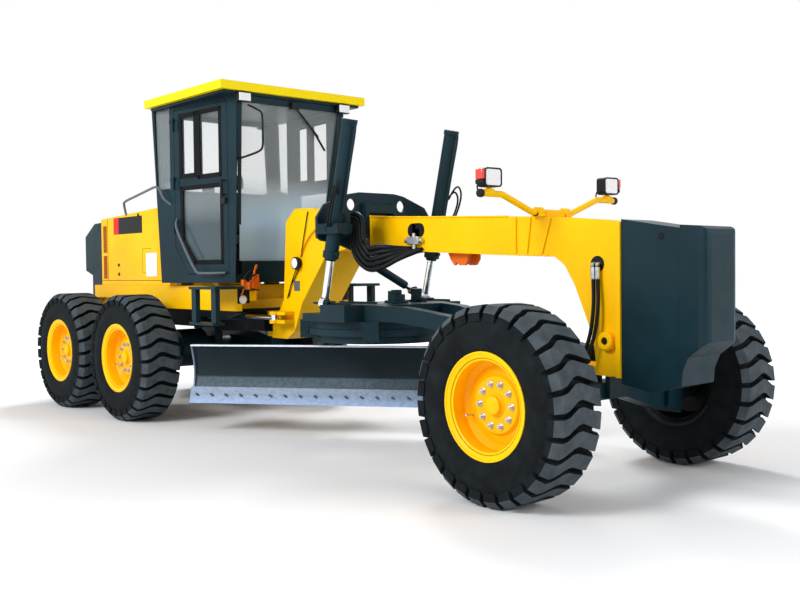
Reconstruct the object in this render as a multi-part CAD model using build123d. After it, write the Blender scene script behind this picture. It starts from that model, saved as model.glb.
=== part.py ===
"""Motor grader: three axles, articulated frame, blade under the front frame, cab on the rear frame.

Millimetres. +X forward, +Y to the machine's left, +Z up. The origin is on the ground, under the middle of the
machine's overall box. Each entry of NODES is one sub-part and becomes one STEP file.
"""

from build123d import *
import os
from math import atan2, cos, degrees, hypot, radians, sin

# ---------------------------------------------------------------- driving dimensions
# wheels and axles
TANDEM_X = -2719.0          # middle of the tandem, and the rear axle
WHEELBASE = 6219.0          # front axle to the middle of the tandem
TANDEM_SPACING = 1538.0     # between the two rear wheels of one side
FRONT_AXLE_X = TANDEM_X + WHEELBASE
WHEEL_TRACK = 2156.0        # between wheel centre planes
TYRE_RADIUS = 675.0         # to the lugs' tips, 17.5-25 tyre
TYRE_WIDTH = 445.0
LUG_HEIGHT = 34.0
LUGS_PER_ROW = 16
LUG_SHARE = 0.52            # of a pitch, at the lug's tip
RIM_SEAT_RADIUS = 318.0
RIM_FLANGE_RADIUS = 366.0
RIM_WIDTH = 400.0           # over the flanges
HUB_BORE_RADIUS = 62.0
HUB_BACK = 60.0             # hub's inner face, inboard of the wheel's centre plane
HUB_FRONT = 78.0            # hub's outer face, outboard of the wheel's centre plane

# clearances
SEAT_GAP = 0.3              # between pieces that rest on one another but may move
RUN_GAP = 0.3               # radial, round shafts and pins
DOOR_GAP = 6.0

# main frame
PIVOT_X = -700.0            # articulation pin
PIVOT_PIN_RADIUS = 55.0
PIVOT_LUG_RADIUS = 150.0
PIVOT_LUG_THICK = 50.0
PIVOT_NECK_LOW = 955.0
PIVOT_NECK_HIGH = 1115.0
BEAM_HALF_WIDTH = 145.0
HORN_HALF_WIDTH = 240.0
NOSE_HALF_WIDTH = 145.0
NOSE_PLATE_X = FRONT_AXLE_X + 300   # front face of the nose plate
NOSE_PLATE_THICK = 40.0
NOSE_PLATE_HALF_WIDTH = 205.0
RAIL_INNER = 300.0
RAIL_OUTER = 400.0
RAIL_LOW = 980.0
DECK_LOW = 1290.0
DECK_TOP = 1440.0
DECK_HALF_WIDTH = 700.0
DECK_REAR_X = -3760.0
DECK_FRONT_X = -450.0

# counterweight on the nose
WEIGHT_HALF_WIDTH = 196.0
WEIGHT_LENGTH = 680.0
WEIGHT_FRONT_X = NOSE_PLATE_X + WEIGHT_LENGTH

# front axle
AXLE_BEAM_HALF_DEPTH = 90.0
LEAN_PIN_Y = 700.0
LEAN_PIN_Z = 560.0
LEAN_PIN_RADIUS = 40.0
KINGPIN_Y = 880.0
KINGPIN_RADIUS = 30.0

# blade linkage
CIRCLE_X = 900.0
CIRCLE_OUTER = 650.0
CIRCLE_FLANGE_INNER = 500.0
CIRCLE_WEB_OUTER = 590.0
CIRCLE_LOW = 930.0
CIRCLE_FLANGE_LOW = 1000.0
CIRCLE_TOP = 1060.0
DRAWBAR_TABLE_LOW = 1130.0
DRAWBAR_TABLE_TOP = 1280.0
DRAWBAR_PIVOT_X = FRONT_AXLE_X - 100
DRAWBAR_PIVOT_Z = 950.0
BLADE_ANGLE = 35.4          # the blade's line, turned from +X towards +Y
BLADE_LENGTH = 3660.0
BLADE_LOW = 300.0
BLADE_TOP = 870.0
BLADE_THICK = 22.0

# cab
CAB_FRONT_X = -450.0        # front end of the side walls
CAB_FRONT_HALF = 668.0
CAB_TAPER = 0.0993          # sideways per unit of length, wider to the rear
CAB_LOW = 1470.0
CAB_HIGH = 3365.0
CAB_WALL = 50.0
ROOF_THICK = 85.0
ROOF_TOP = CAB_HIGH + ROOF_THICK
GLASS_THICK = 8.0

NODES = {}
SIDES = (("left", 1), ("right", -1))


# cylinders between the two frames: pin places as x and distance from the middle
CYL_REAR = (-1450.0, 500.0)
CYL_FRONT = (-300.0, 360.0)
CYL_Z = 1120.0
EYE_HALF = 25.0             # half the thickness of every cylinder eye
EYE_RADIUS = 45.0

# front axle's rocking pin and its foot under the nose
AXLE_PIN_Z = 690.0
AXLE_PIN_RADIUS = 45.0
AXLE_EAR_INNER = AXLE_BEAM_HALF_DEPTH + SEAT_GAP    # ears' near faces, from the axle's middle
AXLE_EAR_OUTER = AXLE_EAR_INNER + 40
FOOT_LOW = 800.0

# drawbar's coupling behind the nose: an upright pin for its swing, a cross pin for its lift
NOSE_REAR_LOW_X = FRONT_AXLE_X + 30
LINK_HALF = 60.0
LINK_RADIUS = 45.0
LINK_PIN_RADIUS = 25.0

# ---------------------------------------------------------------- shape helpers
def block(x0, x1, y0, y1, z0, z1):
    """A box between two corners."""
    size = Box(x1 - x0, y1 - y0, z1 - z0)
    return Pos((x0 + x1) / 2, (y0 + y1) / 2, (z0 + z1) / 2) * size


def side_plate(points, y0, y1):
    """An outline in X and Z, between two planes of Y."""
    plane = Plane(origin=(0, y1, 0), x_dir=(1, 0, 0), z_dir=(0, -1, 0))
    return extrude(plane * Polygon(*points, align=None), amount=y1 - y0, dir=(0, -1, 0))


def flat_plate(points, z0, z1):
    """An outline in X and Y, between two heights."""
    plane = Plane(origin=(0, 0, z0))
    return extrude(plane * Polygon(*points, align=None), amount=z1 - z0, dir=(0, 0, 1))


def cross_plate(points, x0, x1):
    """An outline in Y and Z, between two planes of X."""
    plane = Plane(origin=(x0, 0, 0), x_dir=(0, 1, 0), z_dir=(1, 0, 0))
    return extrude(plane * Polygon(*points, align=None), amount=x1 - x0, dir=(1, 0, 0))


def bar(start, end, radius):
    """A round bar between two points."""
    run = Vector(*end) - Vector(*start)
    plane = Plane(origin=start, z_dir=run)
    return plane * Cylinder(radius, run.length, align=(Align.CENTER, Align.CENTER, Align.MIN))


def tube_path(points, radius, bend):
    """A bent round tube through the points."""
    path = FilletPolyline(*points, radius=bend)
    start = Plane(origin=path @ 0, z_dir=path % 0)
    return sweep(start * Circle(radius), path=path)


def turned(profile, side=1):
    """A (radius, outward) outline turned about the Y axis; side -1 faces the other way."""
    face = Polygon(*[(radius, side * out) for radius, out in profile], align=None)
    return revolve(face, axis=Axis.Y)


def mirrored_outline(half):
    """A plan outline from its left half, listed from one end to the other."""
    return half + [(x, -y) for x, y in reversed(half)]


def both_sides(shape):
    """The shape and its mirror image across the XZ plane."""
    return shape + mirror(shape, about=Plane.XZ)


# ---------------------------------------------------------------- wheels
MID_AXLE_X = TANDEM_X + TANDEM_SPACING / 2
REAR_AXLE_X = TANDEM_X - TANDEM_SPACING / 2
HUB_Z = TYRE_RADIUS
WHEEL_Y = WHEEL_TRACK / 2
TYRE_INNER_Y = WHEEL_Y - TYRE_WIDTH / 2
SPINDLE_END = 55.0          # spindle's end, outboard of the wheel's centre plane


CARCASS_SIDES = 16          # flats round the carcass
TYRE_ROOT = TYRE_RADIUS - LUG_HEIGHT


def ring_outline(apothem, y):
    """A regular outline round the wheel's axis, measured to its flats."""
    face = RegularPolygon(apothem, CARCASS_SIDES, major_radius=False)
    return Plane(origin=(0, y, 0), x_dir=(1, 0, 0), z_dir=(0, 1, 0)) * face


def ring_block(levels):
    """A many-sided drum through (apothem, y) levels."""
    return loft([ring_outline(apothem, y) for apothem, y in levels], ruled=True)


def lug_row(y0, y1, shift):
    """A row of lugs on one half of the tread, from a toothed outline."""
    pitch = 360 / LUGS_PER_ROW
    half_tip = LUG_SHARE * pitch / 2
    half_root = half_tip + 1.0
    tip = TYRE_RADIUS / cos(radians(pitch / 2 - half_tip))
    root = TYRE_ROOT / cos(radians(pitch / 2 - half_root))
    points = []
    for k in range(LUGS_PER_ROW):
        middle = k * pitch + shift * pitch - 90
        for radius, angle in ((root, -half_root), (tip, -half_tip), (tip, half_tip), (root, half_root)):
            turn = radians(middle + angle)
            points.append((radius * cos(turn), radius * sin(turn)))
    return side_plate(points, y0, y1)


def tyre(side):
    """Tyre with two staggered rows of lugs, its beads just off the rim; flat faces throughout."""
    bead = RIM_SEAT_RADIUS + SEAT_GAP + 1
    flange = RIM_FLANGE_RADIUS + 3
    half_bead = RIM_WIDTH / 2 - 14 - SEAT_GAP
    half = TYRE_WIDTH / 2
    tread_half = half - 17
    bulge = 470.0
    shape = lug_row(-tread_half, 0, 0) + lug_row(0, tread_half, 0.5)
    for way in (-1, 1):
        shape += ring_block([(TYRE_ROOT - 14, way * 100), (TYRE_ROOT - 14, way * (half - 27)), (bulge, way * half)])
    shape -= ring_block([(bead, -half - 1), (bead, half + 1)])
    for way in (-1, 1):
        slope = (bulge - flange) / (half - half_bead)
        shape -= ring_block([(flange, way * half_bead), (flange + slope * (half - half_bead + 10), way * (half + 10))])
    return shape if side > 0 else mirror(shape, about=Plane.XZ)


def rim(side):
    """Deep-dished rim with its hub and end cap."""
    half = RIM_WIDTH / 2
    profile = [
        (0, HUB_FRONT + 14),
        (70, HUB_FRONT + 14),
        (82, HUB_FRONT),
        (190, HUB_FRONT),
        (206, 52),
        (268, 40),
        (304, 74),
        (304, half - 22),
        (346, half - 2),
        (RIM_FLANGE_RADIUS, half),
        (RIM_FLANGE_RADIUS, half - 14),
        (RIM_SEAT_RADIUS, half - 14),
        (RIM_SEAT_RADIUS, -half + 14),
        (RIM_FLANGE_RADIUS, -half + 14),
        (RIM_FLANGE_RADIUS, -half),
        (346, -half + 2),
        (304, -half + 22),
        (304, 34),
        (268, 16),
        (206, 26),
        (150, 26),
        (150, -HUB_BACK),
        (HUB_BORE_RADIUS, -HUB_BACK),
        (HUB_BORE_RADIUS, SPINDLE_END + 5),
        (0, SPINDLE_END + 5),
    ]
    return turned(profile, side)


def spindle(side, inner_y):
    """Stub shaft from a carrier's face into the hub, about the wheel's axis."""
    start = side * (inner_y - WHEEL_Y)
    shoulder = bar((0, start, 0), (0, side * (-HUB_BACK - SEAT_GAP), 0), 115)
    pin = bar((0, start, 0), (0, side * SPINDLE_END, 0), HUB_BORE_RADIUS - RUN_GAP)
    return shoulder + pin


WHEELS = [("front", FRONT_AXLE_X), ("mid", MID_AXLE_X), ("rear", REAR_AXLE_X)]
for axle_name, axle_x in WHEELS:
    for side_name, side in SIDES:
        at_wheel = Pos(axle_x, side * WHEEL_Y, HUB_Z)
        NODES[f"tyre_{axle_name}_{side_name}"] = at_wheel * tyre(side)
        NODES[f"rim_{axle_name}_{side_name}"] = at_wheel * rim(side)


# ---------------------------------------------------------------- tandems and rear axle
CASE_INNER = 600.0
CASE_OUTER = 800.0
CASE_HALF_HEIGHT = 190.0
AXLE_TUBE_RADIUS = 125.0
TRUNNION_RADIUS = 95.0
TRUNNION_LENGTH = 60.0
for side_name, side in SIDES:
    low, high = sorted((side * CASE_INNER, side * CASE_OUTER))
    end = TANDEM_SPACING / 2
    case = Pos(TANDEM_X, 0, HUB_Z) * side_plate(
        [
            (-end - 120, -CASE_HALF_HEIGHT + 50),
            (-end - 180, 0),
            (-end - 120, CASE_HALF_HEIGHT - 50),
            (-end + 120, CASE_HALF_HEIGHT),
            (end - 120, CASE_HALF_HEIGHT),
            (end + 120, CASE_HALF_HEIGHT - 50),
            (end + 180, 0),
            (end + 120, -CASE_HALF_HEIGHT + 50),
            (end - 120, -CASE_HALF_HEIGHT),
            (-end + 120, -CASE_HALF_HEIGHT),
        ],
        low,
        high,
    )
    socket_end = side * (CASE_INNER + TRUNNION_LENGTH + SEAT_GAP)
    case -= bar(
        (TANDEM_X, side * CASE_INNER, HUB_Z), (TANDEM_X, socket_end, HUB_Z), TRUNNION_RADIUS + RUN_GAP
    )
    for axle_x in (MID_AXLE_X, REAR_AXLE_X):
        case += Pos(axle_x, side * WHEEL_Y, HUB_Z) * spindle(side, CASE_OUTER)
    NODES[f"tandem_case_{side_name}"] = case

AXLE_END = CASE_INNER - SEAT_GAP
axle = bar((TANDEM_X, -AXLE_END, HUB_Z), (TANDEM_X, AXLE_END, HUB_Z), AXLE_TUBE_RADIUS)
axle += bar((TANDEM_X, -170, HUB_Z), (TANDEM_X, 170, HUB_Z), 225)
axle += bar(
    (TANDEM_X, -CASE_INNER - TRUNNION_LENGTH, HUB_Z),
    (TANDEM_X, CASE_INNER + TRUNNION_LENGTH, HUB_Z),
    TRUNNION_RADIUS,
)
axle += both_sides(block(TANDEM_X - 140, TANDEM_X + 140, RAIL_INNER, RAIL_OUTER, HUB_Z, RAIL_LOW))
NODES["rear_axle"] = axle


# ---------------------------------------------------------------- rear frame
NECK_HALF = 140.0
NECK_REAR_X = -1300.0       # where the rails end and the neck starts
NECK_ROOT_X = -1000.0
NECK_ROOT_HALF = 290.0
BUMPER_DEPTH = 270.0
ENGINE_X = (-3450.0, -2450.0)
ENGINE_HALF_WIDTH = 290.0
ENGINE_LOW = 1150.0
ENGINE_HIGH = 2050.0
BUMPER_REAR_X = -4430.0
HITCH_REAR_X = -4480.0
CAB_PADS_X = (-1730.0, -950.0)
TOW_PIN_X = -4448.0
TOW_PIN_RADIUS = 16.0
CAB_CLEAR_HALF = 470.0      # half width of the notch that the front frame swings in
NOTCH_X = -1120.0


def rear_frame():
    """Two rails, a neck to the articulation pin, a deck with side skirts and a rear bumper."""
    rail = block(BUMPER_REAR_X + BUMPER_DEPTH, NECK_REAR_X, RAIL_INNER, RAIL_OUTER, RAIL_LOW, DECK_LOW)
    frame = both_sides(rail)
    root = [(NECK_REAR_X, RAIL_OUTER), (NECK_ROOT_X, NECK_ROOT_HALF)]
    tip = [(PIVOT_X - 120, NECK_HALF), (PIVOT_X, NECK_HALF)]
    frame += flat_plate(mirrored_outline(root + tip), PIVOT_NECK_LOW, PIVOT_NECK_HIGH)
    frame += bar((PIVOT_X, 0, PIVOT_NECK_LOW), (PIVOT_X, 0, PIVOT_NECK_HIGH), NECK_HALF)
    frame += flat_plate(mirrored_outline(root), PIVOT_NECK_HIGH - 1, DECK_LOW)
    frame -= bar((PIVOT_X, 0, 0), (PIVOT_X, 0, DECK_LOW), PIVOT_PIN_RADIUS + RUN_GAP)
    for x in (ENGINE_X[0] + 100, ENGINE_X[1] - 200):
        frame += block(x, x + 100, -RAIL_INNER, RAIL_INNER, ENGINE_LOW - 110, ENGINE_LOW)
    deck = block(DECK_REAR_X, DECK_FRONT_X, -DECK_HALF_WIDTH, DECK_HALF_WIDTH, DECK_LOW, DECK_TOP)
    deck -= block(NOTCH_X, DECK_FRONT_X, -CAB_CLEAR_HALF, CAB_CLEAR_HALF, DECK_LOW, DECK_TOP)
    deck -= block(
        ENGINE_X[0] - 60, ENGINE_X[1] + 60, -RAIL_INNER, RAIL_INNER, DECK_LOW, DECK_TOP
    )
    frame += deck
    skirt = side_plate(
        [
            (DECK_FRONT_X, 1170),
            (DECK_FRONT_X, DECK_LOW + 1),
            (-3200, DECK_LOW + 1),
            (-3000, 1170),
            (-1300, 1170),
            (-1200, 1120),
            (-650, 1120),
        ],
        DECK_HALF_WIDTH - 60,
        DECK_HALF_WIDTH,
    )
    frame += both_sides(skirt)
    frame += block(BUMPER_REAR_X, BUMPER_REAR_X + BUMPER_DEPTH, -500, 500, 900, DECK_LOW)
    hitch = block(HITCH_REAR_X, BUMPER_REAR_X, -70, 70, 960, 1080)
    hitch -= block(HITCH_REAR_X, BUMPER_REAR_X, -70, 70, 990, 1050)
    hitch -= bar((TOW_PIN_X, 0, 900), (TOW_PIN_X, 0, 1100), TOW_PIN_RADIUS)
    frame += hitch
    tail = (BUMPER_REAR_X + BUMPER_DEPTH, DECK_REAR_X + 60)
    frame += block(*tail, -RAIL_OUTER, RAIL_OUTER, DECK_LOW - 60, DECK_LOW)
    for x in CAB_PADS_X:
        frame += both_sides(block(x - 50, x + 50, 490, 640, DECK_TOP, CAB_LOW))
    arm = block(CYL_REAR[0] - 80, CYL_REAR[0] + 60, RAIL_OUTER, CYL_REAR[1] + 60, 0, 40)
    for z0 in (CYL_Z - EYE_HALF - SEAT_GAP - 40, CYL_Z + EYE_HALF + SEAT_GAP):
        frame += both_sides(Pos(0, 0, z0) * arm)
    return frame


NODES["rear_frame"] = rear_frame()
NODES["engine_block"] = block(
    *ENGINE_X, -ENGINE_HALF_WIDTH, ENGINE_HALF_WIDTH, ENGINE_LOW, ENGINE_HIGH
)


# ---------------------------------------------------------------- hood and radiator housing
HOOD_X = (-3760.0, -2010.0)
HOOD_HALF = 600.0
HOOD_HIGH_REAR = 2250.0
HOOD_HIGH_FRONT = 2330.0
HOOD_SHEET = 30.0
HOUSING_HALF = 560.0
HOUSING_FOOT = 370.0         # lengths behind the hood: of the foot, and of the whole housing
HOUSING_LENGTH = 570.0


def hood_outline(inset):
    """Side outline of the hood, drawn in by a distance at its ends and top."""
    return [
        (HOOD_X[0] + inset, DECK_TOP),
        (HOOD_X[0] + inset, HOOD_HIGH_REAR - inset),
        (HOOD_X[1] - inset, HOOD_HIGH_FRONT - inset),
        (HOOD_X[1] - inset, DECK_TOP),
    ]


hood = side_plate(hood_outline(0), -HOOD_HALF, HOOD_HALF)
hood -= side_plate(hood_outline(HOOD_SHEET), -HOOD_HALF + HOOD_SHEET, HOOD_HALF - HOOD_SHEET)
NODES["hood"] = hood
STACK_X = -2600.0
STACK_Y = 250.0
STACK_WIDE_TOP = 2620.0
STACK_TOP = 2760.0
stack = bar((STACK_X, STACK_Y, HOOD_HIGH_REAR - 60), (STACK_X, STACK_Y, STACK_WIDE_TOP), 75)
stack += bar((STACK_X, STACK_Y, STACK_WIDE_TOP), (STACK_X, STACK_Y, STACK_TOP), 48)
NODES["exhaust_stack"] = stack - side_plate(hood_outline(0), -HOOD_HALF, HOOD_HALF)
NODES["radiator_housing"] = side_plate(
    [
        (HOOD_X[0], DECK_LOW),
        (HOOD_X[0] - HOUSING_FOOT, DECK_LOW),
        (HOOD_X[0] - HOUSING_FOOT, 1560),
        (HOOD_X[0] - HOUSING_LENGTH, 1620),
        (HOOD_X[0] - HOUSING_LENGTH, 2050),
        (HOOD_X[0] - 290, 2210),
        (HOOD_X[0], 2220),
    ],
    -HOUSING_HALF,
    HOUSING_HALF,
)


# ---------------------------------------------------------------- cab
# plan of the cab's outer hull at two heights: x of the windscreen and its half width, rear wall's x
WINDSCREEN_LOW = (-706.0, 537.0)
WINDSCREEN_HIGH = (-442.0, 656.0)
CAB_REAR_LOW_X = -1811.0
CAB_REAR_HIGH_X = -1951.0
CAB_FRONT_LOW_X = -512.0


def cab_half_width(x, inset=0.0):
    """Half width of the cab at a place along it."""
    return CAB_FRONT_HALF + CAB_TAPER * (CAB_FRONT_X - x) - inset


def cab_plan(z, inset):
    """Outline of the cab at one height, drawn in by a distance."""
    t = (z - CAB_LOW) / (CAB_HIGH - CAB_LOW)
    glass_x = WINDSCREEN_LOW[0] + t * (WINDSCREEN_HIGH[0] - WINDSCREEN_LOW[0]) - inset
    glass_half = WINDSCREEN_LOW[1] + t * (WINDSCREEN_HIGH[1] - WINDSCREEN_LOW[1]) - 0.7 * inset
    front_x = CAB_FRONT_LOW_X + t * (CAB_FRONT_X - CAB_FRONT_LOW_X) - inset
    rear_x = CAB_REAR_LOW_X + t * (CAB_REAR_HIGH_X - CAB_REAR_LOW_X) + inset
    half = [
        (glass_x, glass_half),
        (front_x, cab_half_width(front_x, inset)),
        (rear_x, cab_half_width(rear_x, inset)),
    ]
    return half + [(x, -y) for x, y in reversed(half)]


def cab_hull(z0, z1, inset):
    """The cab's outer or inner hull between two heights."""
    low = Plane(origin=(0, 0, z0)) * Polygon(*cab_plan(z0, inset), align=None)
    high = Plane(origin=(0, 0, z1)) * Polygon(*cab_plan(z1, inset), align=None)
    return loft([low, high], ruled=True)


SIDE_TILT = degrees(atan2(CAB_TAPER, 1))
SIDE_PLANE = Plane(
    origin=(CAB_FRONT_X, CAB_FRONT_HALF, 0),
    x_dir=(-1, CAB_TAPER, 0),
    z_dir=(CAB_TAPER, 1, 0),
)


def side_prism(points, out0, out1):
    """An outline on the cab's left side wall: back from its front end, and height."""
    face = SIDE_PLANE.offset(out0) * Polygon(*points, align=None)
    return extrude(face, amount=out1 - out0, dir=tuple(SIDE_PLANE.z_dir))


HINGE_OUT = 16.0            # hinge axis, out from the wall's face
HINGE_RADIUS = 14.0
HINGE_LEAF = 45.0            # half height of a door's leaf
HINGE_HEIGHTS = (2050.0, 2510.0, 3130.0)
DOOR_SILL = 1560.0
DOOR_HEAD = 3300.0
DOOR_FRONT = 160.0
DOOR_REAR = 1095.0
DOOR_CUT_Z = 1860.0         # height where the door's slanted lower rear corner starts
DOOR_CUT = 870.0            # back from the front end, where that slant meets the sill


def door_outline(gap):
    """The door's outline, drawn in by a gap."""
    return [
        (DOOR_FRONT + gap, DOOR_SILL + gap),
        (DOOR_FRONT + gap, DOOR_HEAD - gap),
        (DOOR_REAR - gap, DOOR_HEAD - gap),
        (DOOR_REAR - gap, DOOR_CUT_Z + gap / 2),
        (DOOR_CUT - gap / 2, DOOR_SILL + gap),
    ]


DOOR_PANES = [
    [(712, 2595), (712, 3228), (975, 3228), (975, 2595)],
    [(285, 2570), (285, 3232), (652, 3232), (652, 2570)],
    [(272, 1685), (272, 2465), (965, 2465), (965, 1925), (740, 1685)],
]
REAR_SIDE_PANE = [(1172, 2480), (1172, 3335), (1460, 3335), (1425, 2480)]
WINDSCREEN_PANE_Z = (1690.0, 3270.0)


def windscreen_pane(inset, back):
    """The windscreen's pane: outline drawn in from the hull, set back from its face."""
    rise = CAB_HIGH - CAB_LOW
    run = WINDSCREEN_HIGH[0] - WINDSCREEN_LOW[0]
    lean = Plane(
        origin=(WINDSCREEN_LOW[0], 0, CAB_LOW), x_dir=(0, 1, 0), z_dir=(rise, 0, -run)
    )
    slope = hypot(rise, run) / rise
    points = []
    for z in WINDSCREEN_PANE_Z:
        t = (z - CAB_LOW) / rise
        half = WINDSCREEN_LOW[1] + t * (WINDSCREEN_HIGH[1] - WINDSCREEN_LOW[1]) - inset
        points.append((half, (z - CAB_LOW) * slope))
    outline = [(-points[0][0], points[0][1]), points[0], points[1], (-points[1][0], points[1][1])]
    return lean.offset(-back) * Polygon(*outline, align=None), lean


def glass_in(outline, inset=0.0):
    """A side pane set in the middle of its wall."""
    return side_prism(outline, -CAB_WALL / 2 - GLASS_THICK / 2, -CAB_WALL / 2 + GLASS_THICK / 2)


def hinge_leaf(way, low, high):
    """Half of a door hinge: a leaf in front of the axis (way -1) or behind it (way 1)."""
    axis_s = DOOR_REAR - DOOR_GAP
    near_s = axis_s + max(way, 0) * (DOOR_GAP + 4)
    far_s = axis_s + way * 80
    leaf = side_prism([(near_s, low), (near_s, high), (far_s, high), (far_s, low)], -5, 8)
    x, y, _ = SIDE_PLANE.offset(HINGE_OUT).from_local_coords((axis_s, 0, 0))
    knuckle_pin = bar((x, y, low), (x, y, high), HINGE_RADIUS)
    return leaf + knuckle_pin + side_prism(
        [(axis_s, low), (axis_s, high), (far_s, high), (far_s, low)], 3, 8
    )


cab = cab_hull(CAB_LOW, CAB_HIGH, 0) - cab_hull(CAB_LOW + 60, CAB_HIGH - 40, CAB_WALL)
cab -= both_sides(side_prism(door_outline(0), -200, 60))
cab -= both_sides(side_prism(REAR_SIDE_PANE, -CAB_WALL - 20, 60))
pane, lean = windscreen_pane(45, 0)
cab -= extrude(pane, amount=260, dir=tuple(-lean.z_dir)) + extrude(pane, amount=30, dir=tuple(lean.z_dir))
REAR_WINDOW = (-620.0, 620.0, 2480.0, 3280.0)
cab -= block(CAB_REAR_HIGH_X - 60, CAB_REAR_LOW_X + 80, *REAR_WINDOW)
for z in HINGE_HEIGHTS:
    cab += both_sides(hinge_leaf(1, z + HINGE_LEAF + SEAT_GAP, z + HINGE_LEAF + SEAT_GAP + 35))
NODES["cab_shell"] = cab

glass = extrude(windscreen_pane(45, CAB_WALL / 2)[0], amount=GLASS_THICK, dir=tuple(-lean.z_dir))
glass += both_sides(glass_in(REAR_SIDE_PANE))
rear_glass_x = CAB_REAR_LOW_X + (REAR_WINDOW[2] - CAB_LOW) / (CAB_HIGH - CAB_LOW) * (
    CAB_REAR_HIGH_X - CAB_REAR_LOW_X
)
rear_lean = (CAB_REAR_LOW_X - CAB_REAR_HIGH_X) / (CAB_HIGH - CAB_LOW)
rear_top_x = rear_glass_x - rear_lean * (REAR_WINDOW[3] - REAR_WINDOW[2])
glass += side_plate(
    [
        (rear_glass_x + 20, REAR_WINDOW[2]),
        (rear_top_x + 20, REAR_WINDOW[3]),
        (rear_top_x + 20 + GLASS_THICK, REAR_WINDOW[3]),
        (rear_glass_x + 20 + GLASS_THICK, REAR_WINDOW[2]),
    ],
    REAR_WINDOW[0],
    REAR_WINDOW[1],
)
NODES["cab_glass"] = glass

ROOF_X = (-1970.0, -370.0)
ROOF_HALF = 895.0
NODES["cab_roof"] = block(*ROOF_X, -ROOF_HALF, ROOF_HALF, CAB_HIGH, ROOF_TOP)

door = side_prism(door_outline(DOOR_GAP), -CAB_WALL, 0)
for pane_outline in DOOR_PANES:
    door -= side_prism(pane_outline, -CAB_WALL - 10, 10)
for z in HINGE_HEIGHTS:
    door += hinge_leaf(-1, z - HINGE_LEAF, z + HINGE_LEAF)
panes = Compound(children=[glass_in(pane_outline) for pane_outline in DOOR_PANES])
for side_name, side in SIDES:
    NODES[f"door_{side_name}"] = door if side > 0 else mirror(door, about=Plane.XZ)
    NODES[f"door_glass_{side_name}"] = panes if side > 0 else mirror(panes, about=Plane.XZ)

CAB_FLOOR = CAB_LOW + 60
seat = block(-1560, -1060, -250, 250, CAB_FLOOR + 380, CAB_FLOOR + 500)
seat += side_plate(
    [
        (-1560, CAB_FLOOR + 380),
        (-1700, CAB_FLOOR + 1100),
        (-1600, CAB_FLOOR + 1120),
        (-1440, CAB_FLOOR + 500),
        (-1440, CAB_FLOOR + 380),
    ],
    -240,
    240,
)
seat += block(-1500, -1120, -180, 180, CAB_FLOOR, CAB_FLOOR + 381)
NODES["seat"] = seat

console = block(-860, -760, -110, 110, CAB_FLOOR, CAB_FLOOR + 420)
console += bar((-810, 0, CAB_FLOOR + 400), (-930, 0, CAB_FLOOR + 800), 35)
column = Vector(-120, 0, 400).normalized()
wheel_plane = Plane(origin=(-930, 0, CAB_FLOOR + 800), z_dir=tuple(column))
console += wheel_plane * Torus(210, 16)
console += wheel_plane * Box(400, 40, 14)
console += wheel_plane * Box(40, 400, 14)
NODES["steering_console"] = console


# ---------------------------------------------------------------- steps and handrails
def steps():
    """Step frames at the sides of the deck, each with a platform and a low tread."""
    shape = None
    y0 = DECK_HALF_WIDTH
    parts = [
        block(-820, -310, y0, y0 + 330, 1412, 1440),
        block(-820, -735, y0 + 250, y0 + 300, 1060, 1413),
        block(-440, -355, y0 + 250, y0 + 300, 1060, 1413),
        block(-820, -355, y0 + 200, y0 + 330, 1060, 1085),
    ]
    for piece in parts:
        shape = piece if shape is None else shape + piece
    return both_sides(shape)


NODES["steps"] = steps()


# ---------------------------------------------------------------- front frame
HORN_OUTLINE = [
    (-249, 2076),
    (-89, 2201),
    (213, 2191),
    (476, 2055),
    (406, 1718),
    (19, 1272),
    (-120, 980),
    (-250, 900),
    (-520, 900),
    (-520, 1010),
    (-305, 1291),
]
LAMP_SEAT_REAR_X = NOSE_PLATE_X - 1020      # the beam's top falls straight between these two places
LAMP_SEAT_REAR_Z = 1990.0
LAMP_SEAT_FRONT_X = NOSE_PLATE_X - 580
LAMP_SEAT_FRONT_Z = 1963.0
BEAM_OUTLINE = [
    (400, 2070),
    (830, 2100),
    (1120, 2070),
    (1760, 2040),
    (LAMP_SEAT_REAR_X, LAMP_SEAT_REAR_Z),
    (LAMP_SEAT_FRONT_X, LAMP_SEAT_FRONT_Z),
    (NOSE_PLATE_X - 210, 1928),
    (NOSE_PLATE_X - 30, 1902),
    (NOSE_PLATE_X - 30, 800),
    (NOSE_PLATE_X - 250, 800),
    (NOSE_PLATE_X - 254, 859),
    (NOSE_PLATE_X - 280, 1055),
    (NOSE_PLATE_X - 343, 1213),
    (NOSE_PLATE_X - 452, 1459),
    (NOSE_PLATE_X - 546, 1604),
    (NOSE_PLATE_X - 640, 1668),
    (NOSE_PLATE_X - 1200, 1691),
    (1760, 1733),
    (1180, 1763),
    (770, 1807),
    (420, 1760),
]


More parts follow.
